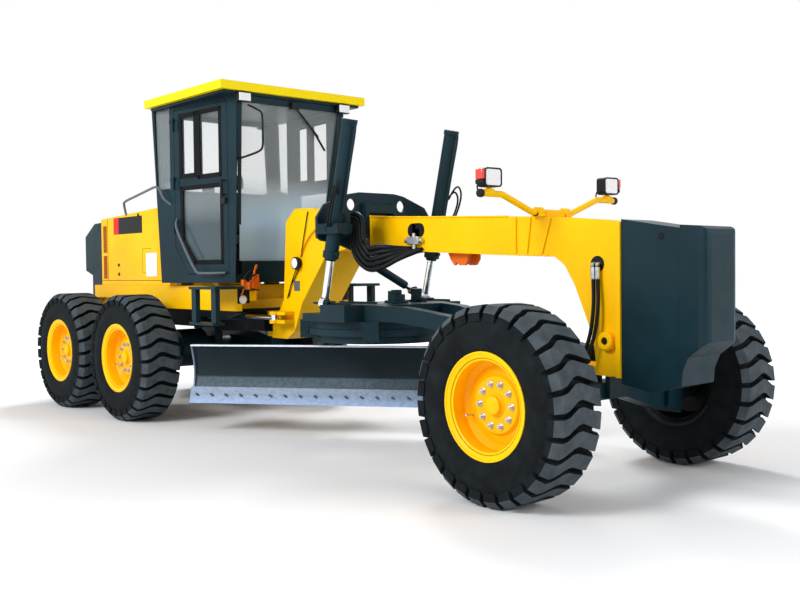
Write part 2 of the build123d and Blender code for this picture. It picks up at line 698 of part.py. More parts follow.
def front_frame():
    """Box beam with its nose, the horn behind it and the articulation lugs."""
    frame = side_plate(BEAM_OUTLINE, -BEAM_HALF_WIDTH, BEAM_HALF_WIDTH)
    frame += side_plate(HORN_OUTLINE, -HORN_HALF_WIDTH, HORN_HALF_WIDTH)
    frame += block(
        NOSE_PLATE_X - NOSE_PLATE_THICK,
        NOSE_PLATE_X,
        -NOSE_PLATE_HALF_WIDTH,
        NOSE_PLATE_HALF_WIDTH,
        800,
        1900,
    )
    low = PIVOT_NECK_LOW - SEAT_GAP
    high = PIVOT_NECK_HIGH + SEAT_GAP
    for z0, z1 in ((low - PIVOT_LUG_THICK, low), (high, high + PIVOT_LUG_THICK)):
        lug = flat_plate(
            [
                (-400, -HORN_HALF_WIDTH),
                (PIVOT_X, -PIVOT_LUG_RADIUS),
                (PIVOT_X, PIVOT_LUG_RADIUS),
                (-400, HORN_HALF_WIDTH),
            ],
            z0,
            z1,
        )
        frame += lug
        frame += bar((PIVOT_X, 0, z0), (PIVOT_X, 0, z1), PIVOT_LUG_RADIUS)
    frame -= bar((PIVOT_X, 0, low), (PIVOT_X, 0, high), PIVOT_LUG_RADIUS + 8)
    frame -= block(PIVOT_X - 10, PIVOT_X + 190, -HORN_HALF_WIDTH, HORN_HALF_WIDTH, low, high)
    frame += bar(
        (PIVOT_X, 0, low - PIVOT_LUG_THICK), (PIVOT_X, 0, high + PIVOT_LUG_THICK), PIVOT_PIN_RADIUS
    )
    return frame + axle_foot() + drawbar_bracket() + cylinder_clevises()


def axle_foot():
    """Foot under the nose with two ears and the pin that the front axle rocks on."""
    x = FRONT_AXLE_X
    foot = block(x - AXLE_EAR_OUTER, NOSE_PLATE_X - NOSE_PLATE_THICK, -BEAM_HALF_WIDTH, BEAM_HALF_WIDTH,
                 FOOT_LOW, FOOT_LOW + 60)
    for inner in (-AXLE_EAR_OUTER, AXLE_EAR_INNER):
        ear_x = x + inner
        foot += block(ear_x, ear_x + AXLE_EAR_OUTER - AXLE_EAR_INNER, -100, 100, AXLE_PIN_Z - 60, FOOT_LOW + 1)
    foot += bar((x - AXLE_EAR_OUTER, 0, AXLE_PIN_Z), (x + AXLE_EAR_OUTER, 0, AXLE_PIN_Z), AXLE_PIN_RADIUS)
    return foot


def drawbar_bracket():
    """Two plates behind the nose that hold the upright pin of the drawbar's coupling."""
    bracket = None
    reach = 60 + NOSE_REAR_LOW_X - DRAWBAR_PIVOT_X
    for z0 in (DRAWBAR_PIVOT_Z - LINK_HALF - SEAT_GAP - 30, DRAWBAR_PIVOT_Z + LINK_HALF + SEAT_GAP):
        plate = block(DRAWBAR_PIVOT_X, DRAWBAR_PIVOT_X + reach, -LINK_RADIUS - 15, LINK_RADIUS + 15, z0, z0 + 30)
        plate += bar((DRAWBAR_PIVOT_X, 0, z0), (DRAWBAR_PIVOT_X, 0, z0 + 30), LINK_RADIUS)
        bracket = plate if bracket is None else bracket + plate
    return bracket


def cylinder_clevises():
    """Clevis plates on the horn's flanks for the cylinders between the frames."""
    x, y = CYL_FRONT
    plates = None
    for z0 in (CYL_Z - EYE_HALF - SEAT_GAP - 35, CYL_Z + EYE_HALF + SEAT_GAP):
        plate = block(x - 50, x + 180, HORN_HALF_WIDTH - 5, y, z0, z0 + 35)
        plate += bar((x, y, z0), (x, y, z0 + 35), 50)
        plates = plate if plates is None else plates + plate
    return both_sides(plates)


NODES["front_frame"] = front_frame()
CAP_REAR_X = WEIGHT_FRONT_X - 200
SIDE_HALF_WIDTH = WEIGHT_HALF_WIDTH - 8
CAP_PLAN = [                # the cap's rounded front corners: back from its face, and half width
    (200, WEIGHT_HALF_WIDTH),
    (60, WEIGHT_HALF_WIDTH),
    (26, WEIGHT_HALF_WIDTH - 8),
    (8, WEIGHT_HALF_WIDTH - 26),
    (0, WEIGHT_HALF_WIDTH - 58),
]


def counterweight():
    """Welded box of plates on the nose with a thick rounded cap in front."""
    box = side_plate(
        [
            (NOSE_PLATE_X, 760),
            (NOSE_PLATE_X, 1920),
            (CAP_REAR_X + 10, 1838),
            (CAP_REAR_X + 10, 840),
            (WEIGHT_FRONT_X - 190, 780),
            (NOSE_PLATE_X + 250, 720),
        ],
        -SIDE_HALF_WIDTH,
        SIDE_HALF_WIDTH,
    )
    cap = side_plate(
        [
            (CAP_REAR_X, 1862),
            (WEIGHT_FRONT_X - 50, 1850),
            (WEIGHT_FRONT_X - 14, 1830),
            (WEIGHT_FRONT_X, 1790),
            (WEIGHT_FRONT_X, 1080),
            (WEIGHT_FRONT_X - 140, 975),
            (WEIGHT_FRONT_X - 180, 880),
            (WEIGHT_FRONT_X - 190, 780),
            (CAP_REAR_X, 779),
        ],
        -WEIGHT_HALF_WIDTH,
        WEIGHT_HALF_WIDTH,
    )
    plan = mirrored_outline([(WEIGHT_FRONT_X - back, half) for back, half in CAP_PLAN])
    return box + (cap & flat_plate(plan, 700, 1900))


NODES["counterweight"] = counterweight()


# ---------------------------------------------------------------- front axle, lean carriers and knuckles
CARRIER_INNER_Y = 785.0
CARRIER_PLATE = 35.0
CARRIER_LOW = 440.0
CARRIER_HIGH = 840.0
CARRIER_ARM = 40.0
FORK_INNER = AXLE_BEAM_HALF_DEPTH + SEAT_GAP
FORK_OUTER = 130.0
KNUCKLE_RADIUS = 55.0
BEAM_HALF_OUTLINE = [
    (150, 745),
    (620, 690),
    (740, 620),
    (740, 500),
    (620, 480),
    (150, 620),
]
front_x = (FRONT_AXLE_X - AXLE_BEAM_HALF_DEPTH, FRONT_AXLE_X + AXLE_BEAM_HALF_DEPTH)
beam = cross_plate([(-y, z) for y, z in reversed(BEAM_HALF_OUTLINE)] + BEAM_HALF_OUTLINE, *front_x)
beam -= bar((front_x[0], 0, AXLE_PIN_Z), (front_x[1], 0, AXLE_PIN_Z), AXLE_PIN_RADIUS + RUN_GAP)
for side_name, side in SIDES:
    pin_low = (front_x[0], side * LEAN_PIN_Y, LEAN_PIN_Z)
    pin_high = (front_x[1], side * LEAN_PIN_Y, LEAN_PIN_Z)
    beam -= bar(pin_low, pin_high, LEAN_PIN_RADIUS + RUN_GAP)
NODES["front_axle"] = beam


def lean_carrier():
    """Left carrier: a fork on the beam's lean pin and a yoke that holds the kingpin."""
    x = FRONT_AXLE_X
    outer = CARRIER_INNER_Y + CARRIER_PLATE
    shape = block(x - FORK_OUTER, x + FORK_OUTER, CARRIER_INNER_Y, outer, CARRIER_LOW, CARRIER_HIGH)
    cheek = [
        (LEAN_PIN_Y - 60, LEAN_PIN_Z - 45),
        (LEAN_PIN_Y - 60, LEAN_PIN_Z + 45),
        (outer, CARRIER_HIGH),
        (outer, CARRIER_LOW),
    ]
    shape += cross_plate(cheek, x - FORK_OUTER, x - FORK_INNER)
    shape += cross_plate(cheek, x + FORK_INNER, x + FORK_OUTER)
    shape += bar((x - FORK_OUTER, LEAN_PIN_Y, LEAN_PIN_Z), (x + FORK_OUTER, LEAN_PIN_Y, LEAN_PIN_Z), LEAN_PIN_RADIUS)
    for z0 in (CARRIER_LOW, CARRIER_HIGH - CARRIER_ARM):
        shape += block(x - 60, x + 60, CARRIER_INNER_Y, KINGPIN_Y, z0, z0 + CARRIER_ARM)
        shape += bar((x, KINGPIN_Y, z0), (x, KINGPIN_Y, z0 + CARRIER_ARM), 60)
    shape += bar((x, KINGPIN_Y, CARRIER_LOW), (x, KINGPIN_Y, CARRIER_HIGH), KINGPIN_RADIUS)
    return shape


def knuckle():
    """Left knuckle: a barrel round the kingpin and the front wheel's spindle."""
    x = FRONT_AXLE_X
    low = CARRIER_LOW + CARRIER_ARM + SEAT_GAP
    high = CARRIER_HIGH - CARRIER_ARM - SEAT_GAP
    shape = bar((x, KINGPIN_Y, low), (x, KINGPIN_Y, high), KNUCKLE_RADIUS)
    shape += bar((x, KINGPIN_Y + 20, HUB_Z), (x, WHEEL_Y - HUB_BACK - SEAT_GAP, HUB_Z), 100)
    shape += bar((x, KINGPIN_Y + 20, HUB_Z), (x, WHEEL_Y + SPINDLE_END, HUB_Z), HUB_BORE_RADIUS - RUN_GAP)
    return shape - bar((x, KINGPIN_Y, low), (x, KINGPIN_Y, high), KINGPIN_RADIUS + RUN_GAP)


for name, shape in (("lean_carrier", lean_carrier()), ("knuckle", knuckle())):
    NODES[f"{name}_left"] = shape
    NODES[f"{name}_right"] = mirror(shape, about=Plane.XZ)


# ---------------------------------------------------------------- saddle and the three blade cylinders
LIFT_EYE = Vector(876, 610, 1290)       # left rod eye's centre, on the drawbar
LIFT_TRUNNION = Vector(1042, 610, 1950)
LIFT_AXIS = (LIFT_TRUNNION - LIFT_EYE).normalized()
LIFT_REACH = (LIFT_TRUNNION - LIFT_EYE).length
LIFT_BARREL_LOW = -258.0                # along the cylinder, from the trunnion
LIFT_BARREL_HIGH = 969.0
LIFT_BARREL_RADIUS = 65.0
LIFT_BORE_RADIUS = 48.0
LIFT_ROD_RADIUS = 35.0
LIFT_PISTON_HIGH = 640.0
LIFT_EYE_RADIUS = 55.0
LIFT_NECK_RADIUS = 18.0                 # between the eye and the rod
GLAND_THICK = 40.0
YOKE_HALF_LENGTH = 115.0
YOKE_HALF_WIDTH = 105.0
YOKE_HALF_HEIGHT = 45.0
YOKE_OPENING = (88.0, 70.0)
YOKE_PIN_RADIUS = 35.0
TRUNNION_PIN_RADIUS = 25.0
SADDLE_PLATE = 35.0
SADDLE_HALF_GAP = 145.0                 # plates' near faces, from the trunnions
SHIFT_TOP = Vector(1030, -327, 1711)    # barrel eye's centre, under the saddle
SHIFT_EYE = Vector(1050, 300, 1390)     # rod eye's centre, over the drawbar
SHIFT_BARREL_LENGTH = 600.0
SHIFT_BARREL_RADIUS = 38.0
SHIFT_ROD_RADIUS = 24.0
SHIFT_NECK = 35.0                       # from the barrel's eye to its body
SHIFT_ROD_LENGTH = 600.0
BOSS_RADIUS = 25.0
BOSS_LENGTH = 25.0
LUG_THICK = 30.0
LUG_HIGH = 28.0                         # lug's top over the eye's centre
COUPLING = Vector(DRAWBAR_PIVOT_X, 0, DRAWBAR_PIVOT_Z)


def to_coupling(place):
    """Direction from a point of the drawbar to its coupling at the nose."""
    return (COUPLING - place).normalized()


def eye(place, radius, half=EYE_HALF):
    """A cylinder's eye, its flat faces square to the line to the drawbar's coupling."""
    return Plane(origin=place, z_dir=to_coupling(place)) * Cylinder(radius, 2 * half)


def lug(place, toward, half_width, low, high):
    """Upright lug beside a cylinder's eye, with a domed boss that meets the eye's flat face."""
    across = Vector(0, 0, 1).cross(toward).normalized()
    frame = Plane(origin=place + toward * (EYE_HALF + SEAT_GAP), x_dir=across, z_dir=toward)
    boss = Pos(0, 0, BOSS_RADIUS) * Sphere(BOSS_RADIUS)
    boss += Pos(0, 0, BOSS_RADIUS) * Cylinder(BOSS_RADIUS, 10, align=(Align.CENTER, Align.CENTER, Align.MIN))
    plate = Pos(0, (high + low) / 2, 0) * Rectangle(2 * half_width, high - low)
    return frame * boss + extrude(frame.offset(BOSS_LENGTH) * plate, amount=LUG_THICK, dir=tuple(toward))


def along(origin, axis, start, end, radius):
    """A round bar on an axis, between two distances from its origin."""
    return bar(tuple(origin + axis * start), tuple(origin + axis * end), radius)


def yoke_frame():
    """Frame at the left trunnion, its X towards the drawbar's coupling in plan."""
    toward = to_coupling(LIFT_EYE)
    return Plane(origin=LIFT_TRUNNION, x_dir=(toward.X, toward.Y, 0), z_dir=(0, 0, 1))


def lift_yoke():
    """Left yoke: a ring round the cylinder on one stout pin into the saddle."""
    frame = yoke_frame()
    ring = Box(2 * YOKE_HALF_LENGTH, 2 * YOKE_HALF_WIDTH, 2 * YOKE_HALF_HEIGHT)
    pin_end = SADDLE_HALF_GAP + SADDLE_PLATE + 12
    ring += Pos(-pin_end / 2, 0, 0) * (Rot(0, 90, 0) * Cylinder(YOKE_PIN_RADIUS, pin_end))
    ring -= Box(2 * YOKE_OPENING[0], 2 * YOKE_OPENING[1], 200)
    ring -= Rot(90, 0, 0) * Cylinder(TRUNNION_PIN_RADIUS + RUN_GAP, 300)
    return frame * ring


def lift_barrel():
    """Left lift cylinder's barrel, with its trunnion pins."""
    pins = yoke_frame() * (Rot(90, 0, 0) * Cylinder(TRUNNION_PIN_RADIUS, 2 * YOKE_HALF_WIDTH - 10))
    shape = along(LIFT_TRUNNION, LIFT_AXIS, LIFT_BARREL_LOW, LIFT_BARREL_HIGH, LIFT_BARREL_RADIUS) + pins
    shape -= along(
        LIFT_TRUNNION, LIFT_AXIS, LIFT_BARREL_LOW + GLAND_THICK, LIFT_BARREL_HIGH - 30, LIFT_BORE_RADIUS
    )
    return shape - along(
        LIFT_TRUNNION, LIFT_AXIS, LIFT_BARREL_LOW - 1, LIFT_BARREL_LOW + GLAND_THICK + 1, LIFT_ROD_RADIUS + RUN_GAP
    )


def lift_rod():
    """Left lift cylinder's rod, with its eye and piston."""
    shape = along(LIFT_TRUNNION, LIFT_AXIS, -LIFT_REACH + 60, LIFT_PISTON_HIGH, LIFT_ROD_RADIUS)
    shape += along(LIFT_TRUNNION, LIFT_AXIS, -LIFT_REACH + 20, -LIFT_REACH + 65, LIFT_NECK_RADIUS)
    shape += along(
        LIFT_TRUNNION, LIFT_AXIS, LIFT_PISTON_HIGH - 40, LIFT_PISTON_HIGH, LIFT_BORE_RADIUS - RUN_GAP
    )
    return shape + eye(LIFT_EYE, LIFT_EYE_RADIUS)


for name, shape in (("lift_yoke", lift_yoke()), ("lift_barrel", lift_barrel()), ("lift_rod", lift_rod())):
    NODES[f"{name}_left"] = shape
    NODES[f"{name}_right"] = mirror(shape, about=Plane.XZ)

SHIFT_AXIS = (SHIFT_EYE - SHIFT_TOP).normalized()
SHIFT_REACH = (SHIFT_EYE - SHIFT_TOP).length
shift_facing = to_coupling(SHIFT_EYE)
shift_disc = Plane(origin=SHIFT_TOP, z_dir=shift_facing) * Cylinder(EYE_RADIUS, 2 * EYE_HALF)
shift_barrel = shift_disc + along(SHIFT_TOP, SHIFT_AXIS, 0, SHIFT_NECK + 5, EYE_HALF)
shift_barrel += along(SHIFT_TOP, SHIFT_AXIS, SHIFT_NECK, SHIFT_BARREL_LENGTH, SHIFT_BARREL_RADIUS)
shift_barrel -= along(SHIFT_TOP, SHIFT_AXIS, SHIFT_NECK + 12, SHIFT_BARREL_LENGTH + 1, SHIFT_ROD_RADIUS + RUN_GAP)
NODES["shift_barrel"] = shift_barrel
NODES["shift_rod"] = (
    along(SHIFT_TOP, SHIFT_AXIS, SHIFT_REACH - SHIFT_ROD_LENGTH, SHIFT_REACH - 20, SHIFT_ROD_RADIUS)
    + eye(SHIFT_EYE, EYE_RADIUS)
)

SADDLE_HALF_OUTLINE = [
    (210, 2300),
    (330, 2280),
    (600, 2180),
    (690, 2060),
    (690, 1880),
    (640, 1850),
    (480, 1830),
    (220, 1740),
]
SADDLE_CLAMP_X = 965.0                  # front end of the clamp round the beam
SADDLE_HOLE_Y = 300.0
SADDLE_HOLE_Z = 2185.0
SADDLE_HOLE_RADIUS = 55.0


def saddle():
    """Cross plate and clamp round the beam that carry the yokes, and the shift cylinder's lug."""
    outline = [(-y, z) for y, z in reversed(SADDLE_HALF_OUTLINE)] + SADDLE_HALF_OUTLINE
    rear_x = LIFT_TRUNNION.X - SADDLE_HALF_GAP - SADDLE_PLATE
    shape = cross_plate(outline, rear_x, rear_x + SADDLE_PLATE)
    for y in (-SADDLE_HOLE_Y, SADDLE_HOLE_Y):
        hole = bar((rear_x - 1, y, SADDLE_HOLE_Z), (rear_x + SADDLE_PLATE + 1, y, SADDLE_HOLE_Z), SADDLE_HOLE_RADIUS)
        shape -= hole
    flank = block(rear_x + 1, SADDLE_CLAMP_X, BEAM_HALF_WIDTH, BEAM_HALF_WIDTH + 40, 1760, 2200)
    shape += both_sides(flank)
    shape += block(rear_x + 1, SADDLE_CLAMP_X, -BEAM_HALF_WIDTH - 1, BEAM_HALF_WIDTH + 1, 2110, 2190)
    shape -= side_plate(BEAM_OUTLINE, -BEAM_HALF_WIDTH, BEAM_HALF_WIDTH)
    left_pins = yoke_frame() * (Rot(0, 90, 0) * Cylinder(YOKE_PIN_RADIUS + RUN_GAP, 500))
    shape -= both_sides(left_pins)
    shape += lug(SHIFT_TOP, shift_facing, 50, -50, 170)
    shape += block(rear_x + 1, SHIFT_TOP.X + 80, SHIFT_TOP.Y - 50, SHIFT_TOP.Y + 50, 1840, 1900)
    return shape


NODES["saddle"] = saddle()


# ---------------------------------------------------------------- drawbar and circle
TABLE_REAR_X = 660.0
TABLE_FRONT_X = 1280.0
TABLE_HALF = 700.0
RECESS_LOW = 1200.0
RECESS_INNER_Y = 470.0
RING_INNER = 540.0
RING_OUTER = 640.0


def drawbar():
    """Table over the circle, a tapering A-frame to the coupling, the circle's guides and the lugs."""
    plan = flat_plate(
        mirrored_outline([(TABLE_FRONT_X - 1, 480), (2700, 120), (DRAWBAR_PIVOT_X - 60, 100)]), 800, 1400
    )
    plan -= flat_plate(mirrored_outline([(TABLE_FRONT_X + 130, 330), (2550, 40)]), 800, 1400)
    profile = side_plate(
        [
            (TABLE_FRONT_X - 2, DRAWBAR_TABLE_LOW),
            (1600, DRAWBAR_TABLE_LOW),
            (DRAWBAR_PIVOT_X - 75, DRAWBAR_PIVOT_Z - 45),
            (DRAWBAR_PIVOT_X - 75, DRAWBAR_PIVOT_Z + 45),
            (1700, DRAWBAR_TABLE_TOP - 20),
            (TABLE_FRONT_X - 2, DRAWBAR_TABLE_TOP),
        ],
        -600,
        600,
    )
    shape = plan & profile
    x = DRAWBAR_PIVOT_X
    cheek = block(x - 76, x, 65, 100, DRAWBAR_PIVOT_Z - 45, DRAWBAR_PIVOT_Z + 45)
    cheek += bar((x, 65, DRAWBAR_PIVOT_Z), (x, 100, DRAWBAR_PIVOT_Z), 45)
    cheek -= bar((x, 60, DRAWBAR_PIVOT_Z), (x, 101, DRAWBAR_PIVOT_Z), LINK_PIN_RADIUS + RUN_GAP)
    shape += both_sides(cheek)
    table = block(TABLE_REAR_X, TABLE_FRONT_X, -TABLE_HALF, TABLE_HALF, DRAWBAR_TABLE_LOW, DRAWBAR_TABLE_TOP)
    eye_front = LIFT_EYE.X + 55
    table -= both_sides(block(TABLE_REAR_X - 1, eye_front, RECESS_INNER_Y, TABLE_HALF + 1, RECESS_LOW, 1500))
    shape += table
    guide = Pos(CIRCLE_X, 0, 0) * (
        bar((0, 0, CIRCLE_TOP + SEAT_GAP), (0, 0, DRAWBAR_TABLE_LOW + 1), RING_OUTER)
        - bar((0, 0, CIRCLE_TOP), (0, 0, DRAWBAR_TABLE_LOW + 2), RING_INNER)
    )
    shape += guide
    shoe = block(CIRCLE_OUTER - 60, 730, -70, 70, CIRCLE_FLANGE_LOW - 40, DRAWBAR_TABLE_LOW)
    shoe -= bar((0, 0, CIRCLE_FLANGE_LOW - SEAT_GAP), (0, 0, CIRCLE_TOP + SEAT_GAP), CIRCLE_OUTER + 8)
    shoe -= bar((0, 0, CIRCLE_LOW - 20), (0, 0, CIRCLE_FLANGE_LOW), CIRCLE_WEB_OUTER + 8)
    for angle in (45, 135, 225, 315):
        shape += Pos(CIRCLE_X, 0, 0) * (Rot(0, 0, angle) * shoe)
    lift_lug = lug(LIFT_EYE, to_coupling(LIFT_EYE), 60, RECESS_LOW - LIFT_EYE.Z - 10, LUG_HIGH)
    shape += both_sides(lift_lug)
    shape += lug(SHIFT_EYE, to_coupling(SHIFT_EYE), 50, DRAWBAR_TABLE_TOP - SHIFT_EYE.Z - 20, LUG_HIGH)
    return shape


NODES["drawbar"] = drawbar()
link = bar(
    (DRAWBAR_PIVOT_X, 0, DRAWBAR_PIVOT_Z - LINK_HALF), (DRAWBAR_PIVOT_X, 0, DRAWBAR_PIVOT_Z + LINK_HALF), LINK_RADIUS
)
link += bar((DRAWBAR_PIVOT_X, -110, DRAWBAR_PIVOT_Z), (DRAWBAR_PIVOT_X, 110, DRAWBAR_PIVOT_Z), LINK_PIN_RADIUS)
NODES["drawbar_coupling"] = link

# blade's own frame: its X is the way the blade faces, its Y runs along the blade to the left
BLADE_FRAME = Pos(CIRCLE_X, 0, 0) * Rot(0, 0, BLADE_ANGLE - 90)
ARM_Y = 450.0
ARM_HALF = 22.0
TILT_X = -270.0
TILT_Z = 430.0
TILT_PIN_RADIUS = 25.0


def circle():
    """Turntable ring under the drawbar, with the two arms that hold the blade."""
    ring = bar((0, 0, CIRCLE_FLANGE_LOW), (0, 0, CIRCLE_TOP), CIRCLE_OUTER)
    ring += bar((0, 0, CIRCLE_LOW), (0, 0, CIRCLE_FLANGE_LOW + 1), CIRCLE_WEB_OUTER)
    ring -= bar((0, 0, CIRCLE_LOW - 1), (0, 0, CIRCLE_TOP + 1), CIRCLE_FLANGE_INNER)
    for y in (-ARM_Y, ARM_Y):
        arm = side_plate(
            [
                (-390, CIRCLE_LOW + 20),
                (-225, CIRCLE_LOW + 20),
                (-225, 900),
                (-264, 830),
                (-264, 600),
                (TILT_X + 40, TILT_Z + 50),
                (TILT_X + 40, TILT_Z - 20),
                (TILT_X - 40, TILT_Z - 20),
                (-390, 700),
            ],
            y - ARM_HALF,
            y + ARM_HALF,
        )
        arm += bar((TILT_X, y - ARM_HALF, TILT_Z), (TILT_X, y + ARM_HALF, TILT_Z), 50)
        arm -= bar((TILT_X, y - 60, TILT_Z), (TILT_X, y + 60, TILT_Z), TILT_PIN_RADIUS + RUN_GAP)
        ring += arm
    return BLADE_FRAME * ring


NODES["circle"] = circle()

# moldboard: a curved plate with two slide rails on its back
BLADE_CHORD_LOW = (-15.0, BLADE_LOW)
BLADE_CHORD_HIGH = (-45.0, BLADE_TOP)
BLADE_SAG = 105.0
BLADE_MID_Y = -106.0
RAIL_LENGTH = 2500.0
RAILS = [(415.0, -168.0), (745.0, -176.0)]      # height and rear face of each rail
RAIL_HALF_HEIGHT = 25.0


def moldboard():
    """Curved blade plate with slide rails and end ribs."""
    mid = ((BLADE_CHORD_LOW[0] + BLADE_CHORD_HIGH[0]) / 2 - BLADE_SAG, (BLADE_LOW + BLADE_TOP) / 2)
    back = BLADE_THICK
    plane = Plane(origin=(0, BLADE_MID_Y + BLADE_LENGTH / 2, 0), x_dir=(1, 0, 0), z_dir=(0, -1, 0))
    front_arc = ThreePointArc(BLADE_CHORD_LOW, mid, BLADE_CHORD_HIGH)
    rear_arc = ThreePointArc(
        (BLADE_CHORD_HIGH[0] - back, BLADE_TOP), (mid[0] - back, mid[1]), (BLADE_CHORD_LOW[0] - back, BLADE_LOW)
    )
    top = Line(front_arc @ 1, rear_arc @ 0)
    bottom = Line(rear_arc @ 1, front_arc @ 0)
    face = make_face([front_arc, top, rear_arc, bottom])
    shape = extrude(plane * face, amount=BLADE_LENGTH, dir=(0, -1, 0))
    for z, rear in RAILS:
        y0 = BLADE_MID_Y - RAIL_LENGTH / 2
        shape += block(rear, -118, y0, y0 + RAIL_LENGTH, z - RAIL_HALF_HEIGHT, z + RAIL_HALF_HEIGHT)
    return BLADE_FRAME * shape


def cutting_edge():
    """Flat wear strip bolted to the blade's lower front face."""
    y0 = BLADE_MID_Y - BLADE_LENGTH / 2
    x, z = BLADE_CHORD_LOW
    strip = side_plate(
        [(x + SEAT_GAP, z), (x - 52 + SEAT_GAP, z + 150), (x - 36 + SEAT_GAP, z + 155), (x + 17, z)], y0, y0 + BLADE_LENGTH
    )
    return BLADE_FRAME * strip


NODES["moldboard"] = moldboard()
NODES["cutting_edge"] = cutting_edge()

CARRIER_Y = ARM_Y - ARM_HALF - SEAT_GAP


def blade_carrier():
    """Slide brackets that hold the blade's rails and tilt on the circle's arms."""
    shape = bar((TILT_X, -ARM_Y - 35, TILT_Z), (TILT_X, ARM_Y + 35, TILT_Z), TILT_PIN_RADIUS)
    for low, high in ((-CARRIER_Y, -CARRIER_Y + 60), (CARRIER_Y - 60, CARRIER_Y)):
        bracket = side_plate(
            [
                (-150, 370),
                (-150, 460),
                (-190, 500),
                (-190, 660),
                (-155, 690),
                (-155, 800),
                (-215, 800),
                (-240, 560),
                (TILT_X - 45, TILT_Z + 35),
                (TILT_X - 45, TILT_Z - 35),
                (-240, 370),
            ],
            low,
            high,
        )
        for z, rear in RAILS:
            slot_half = RAIL_HALF_HEIGHT + SEAT_GAP
            bracket -= block(rear - SEAT_GAP, 0, low - 1, high + 1, z - slot_half, z + slot_half)
        shape += bracket
    shape += block(-235, -205, -CARRIER_Y + 1, CARRIER_Y - 1, 540, 640)
    return BLADE_FRAME * shape


NODES["blade_carrier"] = blade_carrier()


# ---------------------------------------------------------------- cylinders between the frames
FRAME_CYL_REAR = Vector(*CYL_REAR, CYL_Z)
FRAME_CYL_FRONT = Vector(*CYL_FRONT, CYL_Z)
FRAME_CYL_AXIS = (FRAME_CYL_FRONT - FRAME_CYL_REAR).normalized()
FRAME_CYL_REACH = (FRAME_CYL_FRONT - FRAME_CYL_REAR).length
FRAME_CYL_BARREL = 700.0
FRAME_CYL_ROD_LENGTH = 700.0
FRAME_CYL_RADIUS = 42.0
FRAME_CYL_ROD_RADIUS = 24.0
FRAME_CYL_NECK = 90.0


def upright_eye(place):
    """A cylinder's eye with an upright axis."""
    return Pos(*place) * Cylinder(EYE_RADIUS, 2 * EYE_HALF)


barrel = upright_eye(FRAME_CYL_REAR) + along(FRAME_CYL_REAR, FRAME_CYL_AXIS, 0, FRAME_CYL_NECK + 5, EYE_HALF)
barrel += along(FRAME_CYL_REAR, FRAME_CYL_AXIS, FRAME_CYL_NECK, FRAME_CYL_BARREL, FRAME_CYL_RADIUS)
barrel -= along(
    FRAME_CYL_REAR, FRAME_CYL_AXIS, FRAME_CYL_NECK + 20, FRAME_CYL_BARREL + 1, FRAME_CYL_ROD_RADIUS + RUN_GAP
)
rod = upright_eye(FRAME_CYL_FRONT) + along(
    FRAME_CYL_REAR, FRAME_CYL_AXIS, FRAME_CYL_REACH - FRAME_CYL_ROD_LENGTH, FRAME_CYL_REACH - 20, FRAME_CYL_ROD_RADIUS
)
for name, shape in (("frame_cylinder_barrel", barrel), ("frame_cylinder_rod", rod)):
    NODES[f"{name}_left"] = shape
    NODES[f"{name}_right"] = mirror(shape, about=Plane.XZ)


# ---------------------------------------------------------------- lamp bar and head lamps
LAMP_BAR_X = FRONT_AXLE_X - 490
LAMP_Y = 695.0
LAMP_SEAT = 2165.0


def beam_top(x):
    """Height of the beam's top face under the lamp bar."""
    fall = (LAMP_SEAT_FRONT_Z - LAMP_SEAT_REAR_Z) / (LAMP_SEAT_FRONT_X - LAMP_SEAT_REAR_X)
    return LAMP_SEAT_REAR_Z + (x - LAMP_SEAT_REAR_X) * fall


half_bar = [(-790, 2130), (-560, 2130), (-230, 2010)]
points = [(LAMP_BAR_X, y, z) for y, z in half_bar] + [(LAMP_BAR_X, -y, z) for y, z in reversed(half_bar)]
lamp_bar = tube_path(points, 24, 90)
lamp_bar += both_sides(block(LAMP_BAR_X - 25, LAMP_BAR_X + 25, LAMP_Y - 30, LAMP_Y + 30, 2130, LAMP_SEAT))
lamp_bar += side_plate(
    [
        (LAMP_BAR_X - 40, beam_top(LAMP_BAR_X - 40)),
        (LAMP_BAR_X + 40, beam_top(LAMP_BAR_X + 40)),
        (LAMP_BAR_X + 40, 2012),
        (LAMP_BAR_X - 40, 2012),
    ],
    -110,
    110,
)
NODES["lamp_bar"] = lamp_bar
NODES["head_lamps"] = both_sides(
    block(LAMP_BAR_X - 55, LAMP_BAR_X + 55, LAMP_Y - 85, LAMP_Y + 85, LAMP_SEAT, LAMP_SEAT + 140)
)


# ---------------------------------------------------------------- one STEP file for each node
os.makedirs("parts", exist_ok=True)
for name, shape in NODES.items():
    export_step(shape, f"parts/{name}.step")
print(len(NODES), "nodes")
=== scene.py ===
import math

import bmesh
import bpy
from mathutils import Matrix, Vector


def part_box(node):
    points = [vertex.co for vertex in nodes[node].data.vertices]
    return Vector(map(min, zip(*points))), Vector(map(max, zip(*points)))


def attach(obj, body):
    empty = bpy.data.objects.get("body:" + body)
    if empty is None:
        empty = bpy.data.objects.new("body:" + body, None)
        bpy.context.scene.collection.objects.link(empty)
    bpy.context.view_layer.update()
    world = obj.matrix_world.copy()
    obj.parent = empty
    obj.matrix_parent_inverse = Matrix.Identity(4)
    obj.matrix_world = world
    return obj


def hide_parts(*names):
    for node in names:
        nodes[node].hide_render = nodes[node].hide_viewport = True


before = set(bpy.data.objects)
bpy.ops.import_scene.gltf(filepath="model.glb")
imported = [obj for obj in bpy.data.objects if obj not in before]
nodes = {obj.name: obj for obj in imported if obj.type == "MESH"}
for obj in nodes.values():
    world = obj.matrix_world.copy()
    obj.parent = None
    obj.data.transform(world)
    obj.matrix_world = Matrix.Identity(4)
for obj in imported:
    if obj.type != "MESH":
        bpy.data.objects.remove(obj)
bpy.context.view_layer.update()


# ---------------------------------------------------------------- camera, light and floor
CAMERA_PLACE = Vector((8.066, -5.960, 1.579))
CAMERA_AZIMUTH = 49.002         # degrees from looking along +Y, towards -X
